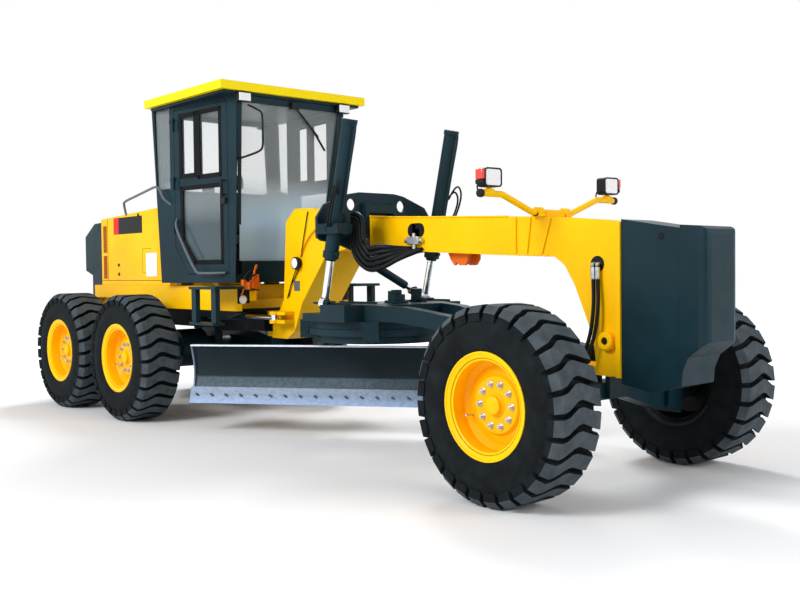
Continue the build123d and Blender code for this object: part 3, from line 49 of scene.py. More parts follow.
CAMERA_ELEVATION = 1.712        # degrees downwards
CAMERA_ROLL = -0.650
FOCAL_OVER_WIDTH = 996.056 / 800


def make_camera():
    """The camera, from the front right and 1.6 m above the floor."""
    azimuth, elevation, roll = map(math.radians, (CAMERA_AZIMUTH, CAMERA_ELEVATION, CAMERA_ROLL))
    data = bpy.data.cameras.new("camera")
    data.sensor_width = 36
    data.lens = 36 * FOCAL_OVER_WIDTH
    camera = bpy.data.objects.new("camera", data)
    bpy.context.scene.collection.objects.link(camera)
    level = Matrix.Rotation(azimuth, 4, "Z") @ Matrix.Rotation(math.pi / 2 - elevation, 4, "X")
    camera.matrix_world = Matrix.Translation(CAMERA_PLACE) @ level @ Matrix.Rotation(roll, 4, "Z")
    bpy.context.scene.camera = camera
    bpy.context.scene.view_settings.view_transform = "Standard"


def add_node(tree, kind, settings=(), links=()):
    """A shader node, its plain settings, its socket values and the links into it."""
    node = tree.nodes.new(kind)
    for name, value in dict(settings).items():
        if name in node.inputs:
            node.inputs[name].default_value = value
        else:
            setattr(node, name, value)
    for name, source in dict(links).items():
        tree.links.new(source, node.inputs[name])
    return node


def linear(hex_colour):
    """An sRGB hex colour as linear red, green, blue and alpha."""
    parts = [int(hex_colour[i:i + 2], 16) / 255 for i in (1, 3, 5)]
    return [p / 12.92 if p <= 0.04045 else ((p + 0.055) / 1.055) ** 2.4 for p in parts] + [1.0]


def area_light(name, place, target, size, power):
    """A soft white square lamp turned towards a target."""
    data = bpy.data.lights.new(name, "AREA")
    data.size = size
    data.energy = power
    lamp = bpy.data.objects.new(name, data)
    bpy.context.scene.collection.objects.link(lamp)
    turn = (Vector(target) - Vector(place)).to_track_quat("-Z", "Y")
    lamp.matrix_world = Matrix.Translation(place) @ turn.to_matrix().to_4x4()


def combined(tree, operation, first, second):
    """Two values joined by one operation."""
    node = add_node(tree, "ShaderNodeMath", {"operation": operation})
    tree.links.new(first, node.inputs[0])
    tree.links.new(second, node.inputs[1])
    return node.outputs[0]


def seen_directly(tree):
    """1 on rays from the camera, on mirrored rays and on rays through glass, otherwise 0."""
    path = add_node(tree, "ShaderNodeLightPath")
    kinds = ("Camera", "Transmission", "Glossy")
    camera, through, mirror = (path.outputs[f"Is {kind} Ray"] for kind in kinds)
    return combined(tree, "MAXIMUM", combined(tree, "MAXIMUM", camera, through), mirror)


def make_stage():
    """A pale floor, a white surround and three soft lamps."""
    mesh = bmesh.new()
    bmesh.ops.create_grid(mesh, x_segments=1, y_segments=1, size=60)
    floor = mesh_object("floor", mesh)
    floor.data.materials.append(floor_material())
    world = bpy.data.worlds.new("surround")
    bpy.context.scene.world = world
    world.use_nodes = True
    tree = world.node_tree
    tree.nodes.clear()
    soft = add_node(tree, "ShaderNodeBackground", {"Color": linear("#F2F5FA"), "Strength": 0.48})
    white = add_node(tree, "ShaderNodeBackground", {"Color": linear("#FFFFFF"), "Strength": 1.0})
    mix = add_node(tree, "ShaderNodeMixShader", links={"Fac": seen_directly(tree)})
    tree.links.new(soft.outputs[0], mix.inputs[1])
    tree.links.new(white.outputs[0], mix.inputs[2])
    add_node(tree, "ShaderNodeOutputWorld", links={"Surface": mix.outputs[0]})
    area_light("key", (1, -14, 9), (-0.5, 0, 1.2), 6, 1850)
    area_light("fill", (13, 3, 5), (2, 0, 1.2), 5, 480)
    area_light("rear", (-6, 6, 11), (0, 0, 1.0), 4, 1100)


FLOOR_FADE = 0.07               # per metre: nearness falls from 1 at the floor's middle to 0 at 14 m


def floor_material():
    """Matt white studio paper: it keeps the object's shadow and fades to white away from it."""
    material = bpy.data.materials.new("white_studio_paper")
    material.use_nodes = True
    tree = material.node_tree
    shader = tree.nodes["Principled BSDF"]
    shader.inputs["Base Color"].default_value = linear("#F4F4F4")
    shader.inputs["Roughness"].default_value = 0.9
    shader.inputs["Specular IOR Level"].default_value = 0.1
    place = add_node(tree, "ShaderNodeTexCoord")
    scale = (FLOOR_FADE, FLOOR_FADE, FLOOR_FADE)
    spread = add_node(tree, "ShaderNodeMapping", {"Scale": scale}, {"Vector": place.outputs["Object"]})
    sphere = {"gradient_type": "SPHERICAL"}
    near = add_node(tree, "ShaderNodeTexGradient", sphere, {"Vector": spread.outputs[0]})
    glow = blended(tree, near.outputs["Fac"], grey(0.60), grey(0.0), 0.30, 0.68)
    strength = combined(tree, "MULTIPLY", glow, seen_directly(tree))
    light = add_node(tree, "ShaderNodeEmission", links={"Strength": strength})
    both = add_node(tree, "ShaderNodeAddShader")
    tree.links.new(shader.outputs[0], both.inputs[0])
    tree.links.new(light.outputs[0], both.inputs[1])
    tree.links.new(both.outputs[0], tree.nodes["Material Output"].inputs["Surface"])
    return material


def mesh_object(name, mesh):
    """A bmesh as an object of the scene, its place in its mesh."""
    bmesh.ops.recalc_face_normals(mesh, faces=mesh.faces)
    data = bpy.data.meshes.new(name)
    mesh.to_mesh(data)
    mesh.free()
    piece = bpy.data.objects.new(name, data)
    bpy.context.scene.collection.objects.link(piece)
    return piece


# ---------------------------------------------------------------- places that pieces and finishes share
WHEEL_Y = 1.078                 # wheel's centre plane from the machine's middle
DISH_FACE = 0.035               # rims are yellow further out from that plane than this; further in they are near-black, a painted shade
CIRCLE_X = 0.900                # turntable's middle
BLADE_ANGLE = 35.4              # degrees from straight along the machine to the blade
RUBBED_TO = 0.548               # soil rubs the blade's enamel off below this height
SCOURED_TO = 0.345              # and scours the cutting edge below this one
DECK_SPLIT = 1.19               # the deck is yellow above this height
NOSE_SPLIT = 0.79               # and the nose above this one
VEIL_MIDDLE = 2.32              # the painted reflection on the cab's panes is heavier below this height


# ---------------------------------------------------------------- materials
def new_material(name, **settings):
    """A Principled material with its plain settings; returns it, its tree and its shader."""
    material = bpy.data.materials.new(name)
    material.use_nodes = True
    tree = material.node_tree
    shader = tree.nodes["Principled BSDF"]
    for socket, value in settings.items():
        shader.inputs[socket.replace("_", " ")].default_value = value
    return material, tree, shader


def object_noise(tree, scale, detail=4.0):
    """Noise on Object coordinates, its scale in features per metre."""
    place = add_node(tree, "ShaderNodeTexCoord")
    settings = {"Scale": scale, "Detail": detail, "Roughness": 0.6}
    return add_node(tree, "ShaderNodeTexNoise", settings, {"Vector": place.outputs["Object"]})


def blended(tree, factor, low, high, low_at=0.35, high_at=0.65):
    """Two colours blended along a factor, between two of its values."""
    ramp = add_node(tree, "ShaderNodeValToRGB", links={"Fac": factor})
    ramp.color_ramp.elements[0].position = low_at
    ramp.color_ramp.elements[0].color = low
    ramp.color_ramp.elements[1].position = high_at
    ramp.color_ramp.elements[1].color = high
    return ramp.outputs["Color"]


def grey(value):
    return (value, value, value, 1.0)


EDGE_ROUND = 0.005              # how round the edges of painted steel look


def roughen(tree, shader, scale, detail, strength, distance):
    """Fine relief all over a surface, from noise of a scale in features per metre."""
    grain = object_noise(tree, scale, detail)
    settings = {"Strength": strength, "Distance": distance}
    bump = add_node(tree, "ShaderNodeBump", settings, {"Height": grain.outputs["Fac"]})
    tree.links.new(bump.outputs["Normal"], shader.inputs["Normal"])


def enamel(name, colour, shade, gloss=0.32):
    """Sprayed gloss enamel on steel: faint orange peel, soft edges, a little uneven and dusty."""
    material, tree, shader = new_material(
        name, IOR=1.5, Specular_IOR_Level=0.13, Coat_Weight=0.03, Coat_Roughness=0.12
    )
    broad = object_noise(tree, 1.7)
    paint = blended(tree, broad.outputs["Fac"], linear(shade), linear(colour))
    tree.links.new(paint, shader.inputs["Base Color"])
    smudges = object_noise(tree, 6.0, 6.0)
    rough = blended(tree, smudges.outputs["Fac"], grey(gloss), grey(gloss + 0.14))
    tree.links.new(rough, shader.inputs["Roughness"])
    soft_edge = add_node(tree, "ShaderNodeBevel", {"Radius": EDGE_ROUND, "samples": 4})
    peel = object_noise(tree, 260.0, 1.0)
    bump = add_node(
        tree,
        "ShaderNodeBump",
        {"Strength": 0.05, "Distance": 0.002},
        {"Height": peel.outputs["Fac"], "Normal": soft_edge.outputs["Normal"]},
    )
    tree.links.new(bump.outputs["Normal"], shader.inputs["Normal"])
    return material


def tyre_rubber(name, dark, light):
    """Vulcanised tyre rubber: matt and grained, with grey dust lying in it."""
    material, tree, shader = new_material(name, IOR=1.5, Specular_IOR_Level=0.10)
    dust = object_noise(tree, 9.0, 8.0)
    colour = blended(tree, dust.outputs["Fac"], linear(dark), linear(light), 0.35, 0.7)
    tree.links.new(colour, shader.inputs["Base Color"])
    tree.links.new(blended(tree, dust.outputs["Fac"], grey(0.7), grey(0.9)), shader.inputs["Roughness"])
    roughen(tree, shader, 120.0, 5.0, 0.25, 0.003)
    return material


def hose_rubber(name, colour, specular):
    """Extruded rubber, as a hydraulic hose's cover: black, satin, with a faint wrapped texture."""
    material, tree, shader = new_material(name, IOR=1.5, Roughness=0.45, Specular_IOR_Level=specular)
    shader.inputs["Base Color"].default_value = linear(colour)
    roughen(tree, shader, 300.0, 2.0, 0.15, 0.001)
    return material


def metal(name, colour, shade, roughness, spread=0.12, scale=40.0):
    """Bare metal: plated, turned or worn, its sheen broken by fine marks."""
    material, tree, shader = new_material(name, Metallic=1.0)
    marks = object_noise(tree, scale, 8.0)
    sheen = blended(tree, marks.outputs["Fac"], linear(shade), linear(colour))
    tree.links.new(sheen, shader.inputs["Base Color"])
    rough = blended(tree, marks.outputs["Fac"], grey(roughness), grey(roughness + spread))
    tree.links.new(rough, shader.inputs["Roughness"])
    return material


def object_axis(tree, axis):
    """One of the Object coordinates, in metres."""
    place = add_node(tree, "ShaderNodeTexCoord")
    split = add_node(tree, "ShaderNodeSeparateXYZ", links={"Vector": place.outputs["Object"]})
    return split.outputs[axis]


def rise(tree, value, start, end):
    """0 where a value is up to the start, 1 from the end on."""
    scaled = add_node(tree, "ShaderNodeMapRange", {"From Min": start, "From Max": end}, {"Value": value})
    return scaled.outputs["Result"]


def height_step(tree, middle, spread):
    """0 below a height and 1 above it, fading over a spread."""
    return rise(tree, object_axis(tree, "Z"), middle - spread, middle + spread)


def mixed(tree, factor, low, high):
    """Two colours mixed by a factor."""
    mix = add_node(tree, "ShaderNodeMixRGB", links={"Fac": factor, "Color1": low, "Color2": high})
    return mix.outputs["Color"]


def below(material, lower, lower_shade, middle, spread, scale, detail=4.0):
    """Gives an enamel another, uneven colour under a height, fading over a spread."""
    tree = material.node_tree
    shader = tree.nodes["Principled BSDF"]
    paint = shader.inputs["Base Color"].links[0].from_socket
    broad = object_noise(tree, scale, detail)
    under = blended(tree, broad.outputs["Fac"], linear(lower_shade), linear(lower))
    colour = mixed(tree, height_step(tree, middle, spread), under, paint)
    tree.links.new(colour, shader.inputs["Base Color"])
    return material


def blade_steel():
    """Blade plate: slate enamel above, rubbed to bare grey where soil rolls over its lower third."""
    material = enamel("slate_blade_enamel", "#18272E", "#122026", gloss=0.42)
    return below(material, "#54646E", "#43525C", RUBBED_TO, 0.010, 30.0, 6.0)


def worn_edge_steel():
    """Rolled cutting-edge steel: grey-blue by its bolts, scoured paler towards its lower lip."""
    material, tree, shader = new_material("scoured_edge_steel", Metallic=0.25, Roughness=0.5)
    place = add_node(tree, "ShaderNodeTexCoord")
    along_blade = add_node(
        tree,
        "ShaderNodeMapping",
        {"Rotation": (0, 0, math.radians(-BLADE_ANGLE)), "Scale": (3.0, 40.0, 40.0)},
        {"Vector": place.outputs["Object"]},
    )
    scratches = add_node(
        tree, "ShaderNodeTexNoise", {"Scale": 1.0, "Detail": 6.0}, {"Vector": along_blade.outputs["Vector"]}
    )
    upper = blended(tree, scratches.outputs["Fac"], linear("#5F6F80"), linear("#74849A"), 0.3, 0.7)
    lower = blended(tree, scratches.outputs["Fac"], linear("#7086A8"), linear("#8599BC"), 0.3, 0.7)
    colour = mixed(tree, height_step(tree, SCOURED_TO, 0.045), lower, upper)
    tree.links.new(colour, shader.inputs["Base Color"])
    return material


def rim_enamel_and_painted_shade():
    """Sprayed yellow enamel on the dish that faces out, with painted shade: more orange deeper in the dish
    and near-black on the side towards the machine.
    """
    material = enamel("yellow_rim_enamel_and_painted_shade", "#FFF0C0", "#FFE4B0", gloss=0.36)
    tree = material.node_tree
    shader = tree.nodes["Principled BSDF"]
    paint = shader.inputs["Base Color"].links[0].from_socket
    out = add_node(tree, "ShaderNodeMath", {"operation": "ABSOLUTE"}, {0: object_axis(tree, "Y")})
    face = WHEEL_Y + DISH_FACE
    step = rise(tree, out.outputs[0], face - 0.0005, face + 0.0005)
    depth = rise(tree, out.outputs[0], WHEEL_Y + 0.05, WHEEL_Y + 0.19)
    # painted shade: the yellow turns orange deeper in the dish, towards the wheel's middle plane
    dish_painted_shade = blended(tree, depth, linear("#FFC400"), linear("#FFDC00"), 0.0, 1.0)
    ends = add_node(
        tree, "ShaderNodeMixRGB", {"blend_type": "MULTIPLY", "Fac": 1.0}, {"Color1": paint, "Color2": dish_painted_shade}
    )
    # painted shade: near-black on the side of the rim towards the machine
    mix = add_node(
        tree,
        "ShaderNodeMixRGB",
        {"Color1": linear("#0E1214")},
        {"Fac": step, "Color2": ends.outputs["Color"]},
    )
    tree.links.new(mix.outputs["Color"], shader.inputs["Base Color"])
    return material


def two_tone(name, split, lower, lower_shade):
    """The machine's yellow enamel, with a dark colour under a height."""
    return below(enamel(name, "#FFCA00", "#FFBE00"), lower, lower_shade, split, 0.002, 1.7)


def safety_glass(name, low_reflection, low_veil, high_veil):
    """Toughened safety glass with a painted reflection: sky and ground colour veil its lower half more than
    its upper.
    """
    material, tree, shader = new_material(name, Roughness=0.03, IOR=1.5)
    height = height_step(tree, VEIL_MIDDLE, 0.24)
    painted_reflection = blended(tree, height, linear(low_reflection), linear("#DDE8EC"), 0.0, 1.0)
    tree.links.new(painted_reflection, shader.inputs["Base Color"])
    tree.links.new(blended(tree, height, grey(low_veil), grey(high_veil), 0.0, 1.0), shader.inputs["Alpha"])
    return material


def plastic(name, colour, roughness=0.5):
    """Moulded plastic with a fine spark-eroded grain."""
    material, tree, shader = new_material(name, IOR=1.46, Roughness=roughness, Specular_IOR_Level=0.2)
    shader.inputs["Base Color"].default_value = linear(colour)
    roughen(tree, shader, 500.0, 2.0, 0.12, 0.001)
    return material


def lamp_lens(name, colour, roughness):
    """Moulded acrylic lamp lens: a bright body colour under a glassy face."""
    material, _, shader = new_material(name, Roughness=roughness, IOR=1.5, Coat_Weight=0.6)
    shader.inputs["Base Color"].default_value = linear(colour)
    return material


def seat_cloth():
    """Woven polyester seat cloth: warp and weft every 4 mm, drawn coarse so that it shows."""
    material, tree, shader = new_material("woven_seat_cloth", Roughness=0.9)
    place = add_node(tree, "ShaderNodeTexCoord")
    for_both = {"Vector": place.outputs["Object"]}
    settings = {"Scale": 80.0, "wave_type": "BANDS"}
    warp = add_node(tree, "ShaderNodeTexWave", {**settings, "bands_direction": "Y"}, for_both)
    weft = add_node(tree, "ShaderNodeTexWave", {**settings, "bands_direction": "Z"}, for_both)
    weave = combined(tree, "MULTIPLY", warp.outputs["Fac"], weft.outputs["Fac"])
    colour = blended(tree, weave, linear("#1B1F22"), linear("#3C4347"), 0.0, 0.8)
    tree.links.new(colour, shader.inputs["Base Color"])
    bump = add_node(tree, "ShaderNodeBump", {"Strength": 0.3, "Distance": 0.002}, {"Height": weave})
    tree.links.new(bump.outputs["Normal"], shader.inputs["Normal"])
    return material


YELLOW = enamel("yellow_gloss_enamel", "#FFCA00", "#FFBE00")
BRIGHT_YELLOW = enamel("yellow_roof_enamel", "#FFE600", "#FFDE00")
SLATE = enamel("slate_gloss_enamel", "#122E37", "#0E262E", gloss=0.35)
BLADE_SLATE = blade_steel()
DECK_ENAMEL = two_tone("yellow_deck_enamel", DECK_SPLIT, "#0F1416", "#0A0D0F")
NOSE_ENAMEL = two_tone("yellow_nose_enamel", NOSE_SPLIT, "#182F38", "#13272F")
# its orange deep in the dish and its near-black inboard side are painted shade
RIM_ENAMEL_AND_PAINTED_SHADE = rim_enamel_and_painted_shade()
# Black paint on real black parts; on the beam's openings and the weight's holes it is painted shade.
BLACK_PAINT_AND_SHADE = enamel("black_paint_and_painted_shade", "#14191C", "#0F1315", gloss=0.5)
MAROON = enamel("maroon_vent_enamel", "#B4501C", "#9E4216", gloss=0.5)
ORANGE = enamel("orange_valve_enamel", "#E8701A", "#C95A12", gloss=0.45)
TYRE = tyre_rubber("vulcanised_tyre_rubber", "#0B0F11", "#1D2326")
# Lug tops: grey dust, and lighter still as a painted highlight where light falls on the tread.
LUG_TOP_DUST_AND_HIGHLIGHT = tyre_rubber("lug_top_dust_and_painted_highlight", "#3B4348", "#535B60")
HOSE = hose_rubber("braided_hose_rubber", "#0C0F11", specular=0.15)
SEAL = hose_rubber("extruded_seal_rubber", "#0D1012", specular=0.08)
CHROME = metal("hard_chrome_plate", "#E9EDF0", "#DDE2E6", 0.1, 0.08)
ZINC = metal("zinc_plated_steel", "#C8CCD0", "#AEB3B8", 0.3)
EDGE_STEEL = worn_edge_steel()
LIP_STEEL = metal("rubbed_lip_steel", "#D9DEEA", "#BCC4D4", 0.45, 0.15)
# Painted reflection: the pale blue and the grey low down on these panes stand for sky and ground seen in the
# glass.
GLASS = safety_glass("safety_glass_painted_sky_reflection", "#C4E6FF", 0.76, 0.14)
DOOR_GLASS = safety_glass("door_glass_painted_reflection", "#5D6F76", 0.45, 0.07)
CASTING = metal("grey_iron_casting", "#5A5E60", "#484C4E", 0.55, 0.2, 90.0)
BLACK_PLASTIC = plastic("moulded_black_plastic", "#16191B")
GREY_PLASTIC = plastic("moulded_grey_plastic", "#5D666B", 0.45)
CLEAR_LENS = lamp_lens("clear_lamp_lens", "#F2F4F6", 0.08)
RED_LENS = lamp_lens("red_lamp_lens", "#E8321E", 0.12)
WHITE_PLATE = plastic("white_vinyl_plate", "#F4F5F6", 0.4)
RED_PLATE = plastic("red_vinyl_plate", "#E01E24", 0.4)
BLACK_PLATE = plastic("black_vinyl_plate", "#0A0B0C", 0.4)
CLOTH = seat_cloth()

SIDES = (("left", 1), ("right", -1))
AXLES = (("front", 3.500), ("mid", -1.950), ("rear", -3.488))
FINISHES = {
    YELLOW: ["hood", "lamp_bar"],
    NOSE_ENAMEL: ["front_frame"],
    DECK_ENAMEL: ["rear_frame"],
    BRIGHT_YELLOW: ["cab_roof"],
    SLATE: [
        "radiator_housing", "counterweight", "cab_shell", "door", "saddle", "steps", "drawbar",
        "drawbar_coupling", "circle", "blade_carrier", "lift_yoke", "lift_barrel", "shift_barrel",
        "frame_cylinder_barrel", "front_axle", "lean_carrier", "knuckle", "tandem_case", "rear_axle",
    ],
    BLADE_SLATE: ["moldboard"],
    RIM_ENAMEL_AND_PAINTED_SHADE: ["rim_front", "rim_mid", "rim_rear"],
    TYRE: ["tyre_front", "tyre_mid", "tyre_rear"],
    CHROME: ["lift_rod", "shift_rod", "frame_cylinder_rod"],
    EDGE_STEEL: ["cutting_edge"],
    GLASS: ["cab_glass"],
    DOOR_GLASS: ["door_glass"],
    CASTING: ["engine_block"],
    BLACK_PLASTIC: ["steering_console", "head_lamps"],
    BLACK_PAINT_AND_SHADE: ["exhaust_stack"],
    CLOTH: ["seat"],
}


def finish_cad_nodes():
    """Every CAD node gets the finish of its real part."""
    for material, names in FINISHES.items():
        for name in names:
            for full_name in (name, f"{name}_left", f"{name}_right"):
                if full_name in nodes:
                    nodes[full_name].data.materials.clear()
                    nodes[full_name].data.materials.append(material)


# ---------------------------------------------------------------- tools for the pieces
def add_box(mesh, low, high, place=Matrix()):
    """A box between two corners, in a local place."""
    low, high = Vector(low), Vector(high)
    size = Matrix.Diagonal((high - low).to_4d())
    size[3][3] = 1
    middle = Matrix.Translation((low + high) / 2)
    bmesh.ops.create_cube(mesh, size=1, matrix=place @ middle @ size)


def add_bar(mesh, start, end, radius, segments):
    """A round bar between two points."""
    start, end = Vector(start), Vector(end)
    way = end - start
    place = Matrix.Translation((start + end) / 2) @ way.to_track_quat("Z", "Y").to_matrix().to_4x4()
    bmesh.ops.create_cone(
        mesh,
        cap_ends=True,
        segments=segments,
        radius1=radius,
        radius2=radius,
        depth=way.length,
        matrix=place,
    )


def add_turned(mesh, profile, place, steps):
    """A profile of (radius, height) points turned about the local Z of a place."""
    verts = [mesh.verts.new((radius, 0, height)) for radius, height in profile]
    edges = [mesh.edges.new(pair) for pair in zip(verts, verts[1:])]
    bmesh.ops.spin(
        mesh, geom=verts + edges, axis=(0, 0, 1), cent=(0, 0, 0), steps=steps, angle=math.tau, use_merge=True
    )
    turned = [v for v in mesh.verts if v.link_edges and v.tag is False]
    bmesh.ops.transform(mesh, matrix=place, verts=turned)
    for vert in turned:
        vert.tag = True


def raise_face(mesh, corners, way):
    """A flat face on some corners, raised into a solid slab along a way."""
    face = mesh.faces.new([mesh.verts.new(corner) for corner in corners])
    raised = bmesh.ops.extrude_face_region(mesh, geom=[face], use_keep_orig=True)["geom"]
    bmesh.ops.translate(mesh, vec=way, verts=[g for g in raised if isinstance(g, bmesh.types.BMVert)])


def add_plate(mesh, outline, axis, low, high):
    """A flat outline of two coordinates, raised along the third axis between two places."""
    order = {"x": (2, 0, 1), "y": (0, 2, 1), "z": (0, 1, 2)}[axis]
    corners = [[(a, b, low)[i] for i in order] for a, b in outline]
    raise_face(mesh, corners, Vector([high - low if i == 2 else 0 for i in order]))


SHARP_ANGLE = math.radians(35)  # edges turned by more than this stay sharp


def dress(name, mesh, body, material, bevel=0.0):
    """A finished piece: its finish, its body and softened edges."""
    bmesh.ops.remove_doubles(mesh, verts=mesh.verts, dist=0.00001)
    piece = mesh_object(name, mesh)
    piece.data.shade_smooth()
    piece.data.set_sharp_from_angle(angle=SHARP_ANGLE)
    piece.data.materials.append(material)
    if bevel:
        soften = piece.modifiers.new("soft_edges", "BEVEL")
        soften.width = bevel
        soften.segments = 2
        soften.limit_method = "ANGLE"
    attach(piece, body)
    return piece


def hose(name, points, radius, body, material=None):
    """A hose or pipe fixed at both ends, on one smooth line."""
    curve = bpy.data.curves.new(name, "CURVE")
    curve.dimensions = "3D"
    curve.bevel_depth = radius
    curve.bevel_resolution = 3
    curve.use_fill_caps = True
    curve.resolution_u = 6
    spline = curve.splines.new("NURBS")
    spline.points.add(len(points) - 1)
    for point, place in zip(spline.points, points):
        point.co = (*place, 1)
    spline.order_u = 3
    spline.use_endpoint_u = True
    piece = bpy.data.objects.new(name, curve)
    bpy.context.scene.collection.objects.link(piece)
    curve.materials.append(material or HOSE)
    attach(piece, body)
    return piece


# ---------------------------------------------------------------- wheels
HUB_Z = 0.675
LUG_COUNT = 28
LUG_STEPS = 10
LUG_DEPTH = 0.060
LUG_SHARE = 0.70                # of the pitch, at the tyre's middle
LUG_FLARE = 0.06                # and this much more at a lug's ends
TREAD_HALF = 0.2215
SHOULDER_START = 0.165
SHOULDER_DROP = 0.052
CARCASS = [
    (0.318, -0.170), (0.366, -0.196), (0.400, -0.212), (0.470, -0.2205), (0.540, -0.214),
    (0.578, -0.203), (0.606, -0.184), (0.624, -0.150), (0.630, 0.0), (0.624, 0.150),
    (0.606, 0.184), (0.578, 0.203), (0.540, 0.214), (0.470, 0.2205), (0.400, 0.212),
    (0.366, 0.196), (0.318, 0.170),
]
LUG_WAVE = [                    # how far a lug runs ahead round the tyre, from its outer end to its inner
    (1.00, -0.082), (0.66, -0.072), (0.10, 0.0), (-0.70, -0.060), (-1.00, -0.066),
]


def wheel_place(axle_x, side):
    """The wheel's centre, its local Z outwards along the axle."""
    turn = Matrix.Rotation(-math.pi / 2 * side, 4, "X")
    return Matrix.Translation((axle_x, side * WHEEL_Y, HUB_Z)) @ turn


def tread_radius(across):
    """Outer radius of a lug, rounding down over the shoulder."""
    past = max(0.0, abs(across) - SHOULDER_START) / (TREAD_HALF - SHOULDER_START)
    return HUB_Z - SHOULDER_DROP * past * past


def lug_sweep(across):
    """How far a lug runs ahead round the tyre at a place across the tread."""
    t = across / TREAD_HALF
    for (t1, s1), (t0, s0) in zip(LUG_WAVE, LUG_WAVE[1:]):
        if t >= t0:
            return s0 + (s1 - s0) * (t - t0) / (t1 - t0)
    return LUG_WAVE[-1][1]


def one_lug(side):
    """One wavy lug with its top as a second material, grey from dust and a painted highlight; lugs lean the
    same way on both sides.
    """
    pitch = math.tau / LUG_COUNT
    lug = bmesh.new()
    grid = bmesh.ops.create_grid(lug, x_segments=LUG_STEPS, y_segments=1, size=0.5)["verts"]
    for vert in grid:
        across = vert.co.x * 2 * TREAD_HALF
        widen = LUG_SHARE + LUG_FLARE * abs(across) / TREAD_HALF
        turn = (vert.co.y * widen) * pitch - side * lug_sweep(across) / HUB_Z
        radius = tread_radius(across)
        vert.co = (radius * math.cos(turn), radius * math.sin(turn), across)
    raised = bmesh.ops.extrude_face_region(lug, geom=lug.faces[:], use_keep_orig=True)["geom"]
    for vert in (g for g in raised if isinstance(g, bmesh.types.BMVert)):
        shrink = 1 - LUG_DEPTH / math.hypot(vert.co.x, vert.co.y)
        vert.co = (vert.co.x * shrink, vert.co.y * shrink, vert.co.z * 0.97)
    # the lug's outer faces take the second material, dust and painted highlight
    for face in lug.faces:
        lowest = min(math.hypot(v.co.x, v.co.y) - tread_radius(v.co.z) for v in face.verts)
        face.material_index = 1 if lowest > -0.002 else 0
    data = bpy.data.meshes.new("one_lug")
    lug.to_mesh(data)
    lug.free()
    return data


def treaded_tyre(axle, axle_x, side_name, side):
    """Carcass with a ring of wavy lugs that wrap over the shoulders."""
    mesh = bmesh.new()
    add_turned(mesh, CARCASS, Matrix(), 72)
    lug = one_lug(side)
    for k in range(LUG_COUNT):
        before = len(mesh.verts)
        mesh.from_mesh(lug)
        mesh.verts.ensure_lookup_table()
        turn = Matrix.Rotation(k * math.tau / LUG_COUNT, 3, "Z")
        bmesh.ops.rotate(mesh, cent=(0, 0, 0), matrix=turn, verts=mesh.verts[before:])
    bpy.data.meshes.remove(lug)
    bmesh.ops.transform(mesh, matrix=wheel_place(axle_x, side), verts=mesh.verts)
    name = f"{axle}_{side_name}"
    tyre = dress(f"treaded_tyre_{name}", mesh, f"wheel_{name}", TYRE, bevel=0.004)
    tyre.data.materials.append(LUG_TOP_DUST_AND_HIGHLIGHT)
    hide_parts(f"tyre_{name}")


def wheel_fittings(axle, axle_x, side_name, side):
    """Ten hub nuts on their studs, the hub's cap, a lock ring and the valve stem."""
    place = wheel_place(axle_x, side)
    name = f"{axle}_{side_name}"
    mesh = bmesh.new()
    for k in range(10):
        turn = place @ Matrix.Rotation(k * math.tau / 10, 4, "Z")
        foot = turn @ Vector((0.145, 0, 0.0775))
        nut_top = turn @ Vector((0.145, 0, 0.100))
        add_bar(mesh, foot, turn @ Vector((0.145, 0, 0.083)), 0.024, 20)
        add_bar(mesh, foot, nut_top, 0.0185, 6)
        add_bar(mesh, foot, turn @ Vector((0.145, 0, 0.112)), 0.0105, 12)
    dress(f"hub_nuts_{name}", mesh, f"wheel_{name}", ZINC, bevel=0.0015)
    cap = bmesh.new()
    add_turned(cap, [(0.0001, 0.128), (0.045, 0.126), (0.062, 0.116), (0.066, 0.088)], place, 40)
    dress(f"hub_cap_{name}", cap, f"wheel_{name}", RIM_ENAMEL_AND_PAINTED_SHADE)
    ring = bmesh.new()
    profile = [
        (0.347, 0.180), (0.356, 0.194), (0.3655, 0.196),
        (0.3655, 0.203), (0.352, 0.204), (0.342, 0.190),
    ]
    add_turned(ring, profile + profile[:1], place, 72)
    dress(f"lock_ring_{name}", ring, f"wheel_{name}", RIM_ENAMEL_AND_PAINTED_SHADE)
    stem = bmesh.new()
    valve = place @ Matrix.Rotation(math.radians(200), 4, "Z")
    add_bar(stem, valve @ Vector((0.268, 0, 0.035)), valve @ Vector((0.255, 0, 0.105)), 0.006, 12)
    add_bar(stem, valve @ Vector((0.255, 0, 0.105)), valve @ Vector((0.251, 0, 0.125)), 0.008, 12)
    dress(f"valve_stem_{name}", stem, f"wheel_{name}", ZINC)


# ---------------------------------------------------------------- cab
CAB_FRONT_X = -0.450            # front ends of the cab's side walls
CAB_FRONT_HALF = 0.668
CAB_FLARE = 0.0993              # how fast the walls widen towards the back


def on_side(back, height, out):
    """A place on the cab's left side wall: back from its front end, height, and out from its face."""
    long = math.hypot(1, CAB_FLARE)
    x = CAB_FRONT_X - back / long + out * CAB_FLARE / long
    y = CAB_FRONT_HALF + back * CAB_FLARE / long + out / long
    return Vector((x, y, height))


def mirrored(mesh):
    """Adds the other side's copy across the machine's middle plane."""
    bmesh.ops.mirror(mesh, geom=mesh.verts[:] + mesh.edges[:] + mesh.faces[:], axis="Y", merge_dist=-1)


PANES = [                       # a door's three panes, as places back from the front and heights
    [(0.712, 2.595), (0.712, 3.228), (0.975, 3.228), (0.975, 2.595)],
    [(0.285, 2.570), (0.285, 3.232), (0.652, 3.232), (0.652, 2.570)],
    [(0.272, 1.685), (0.272, 2.465), (0.965, 2.465), (0.965, 1.925), (0.740, 1.685)],
]


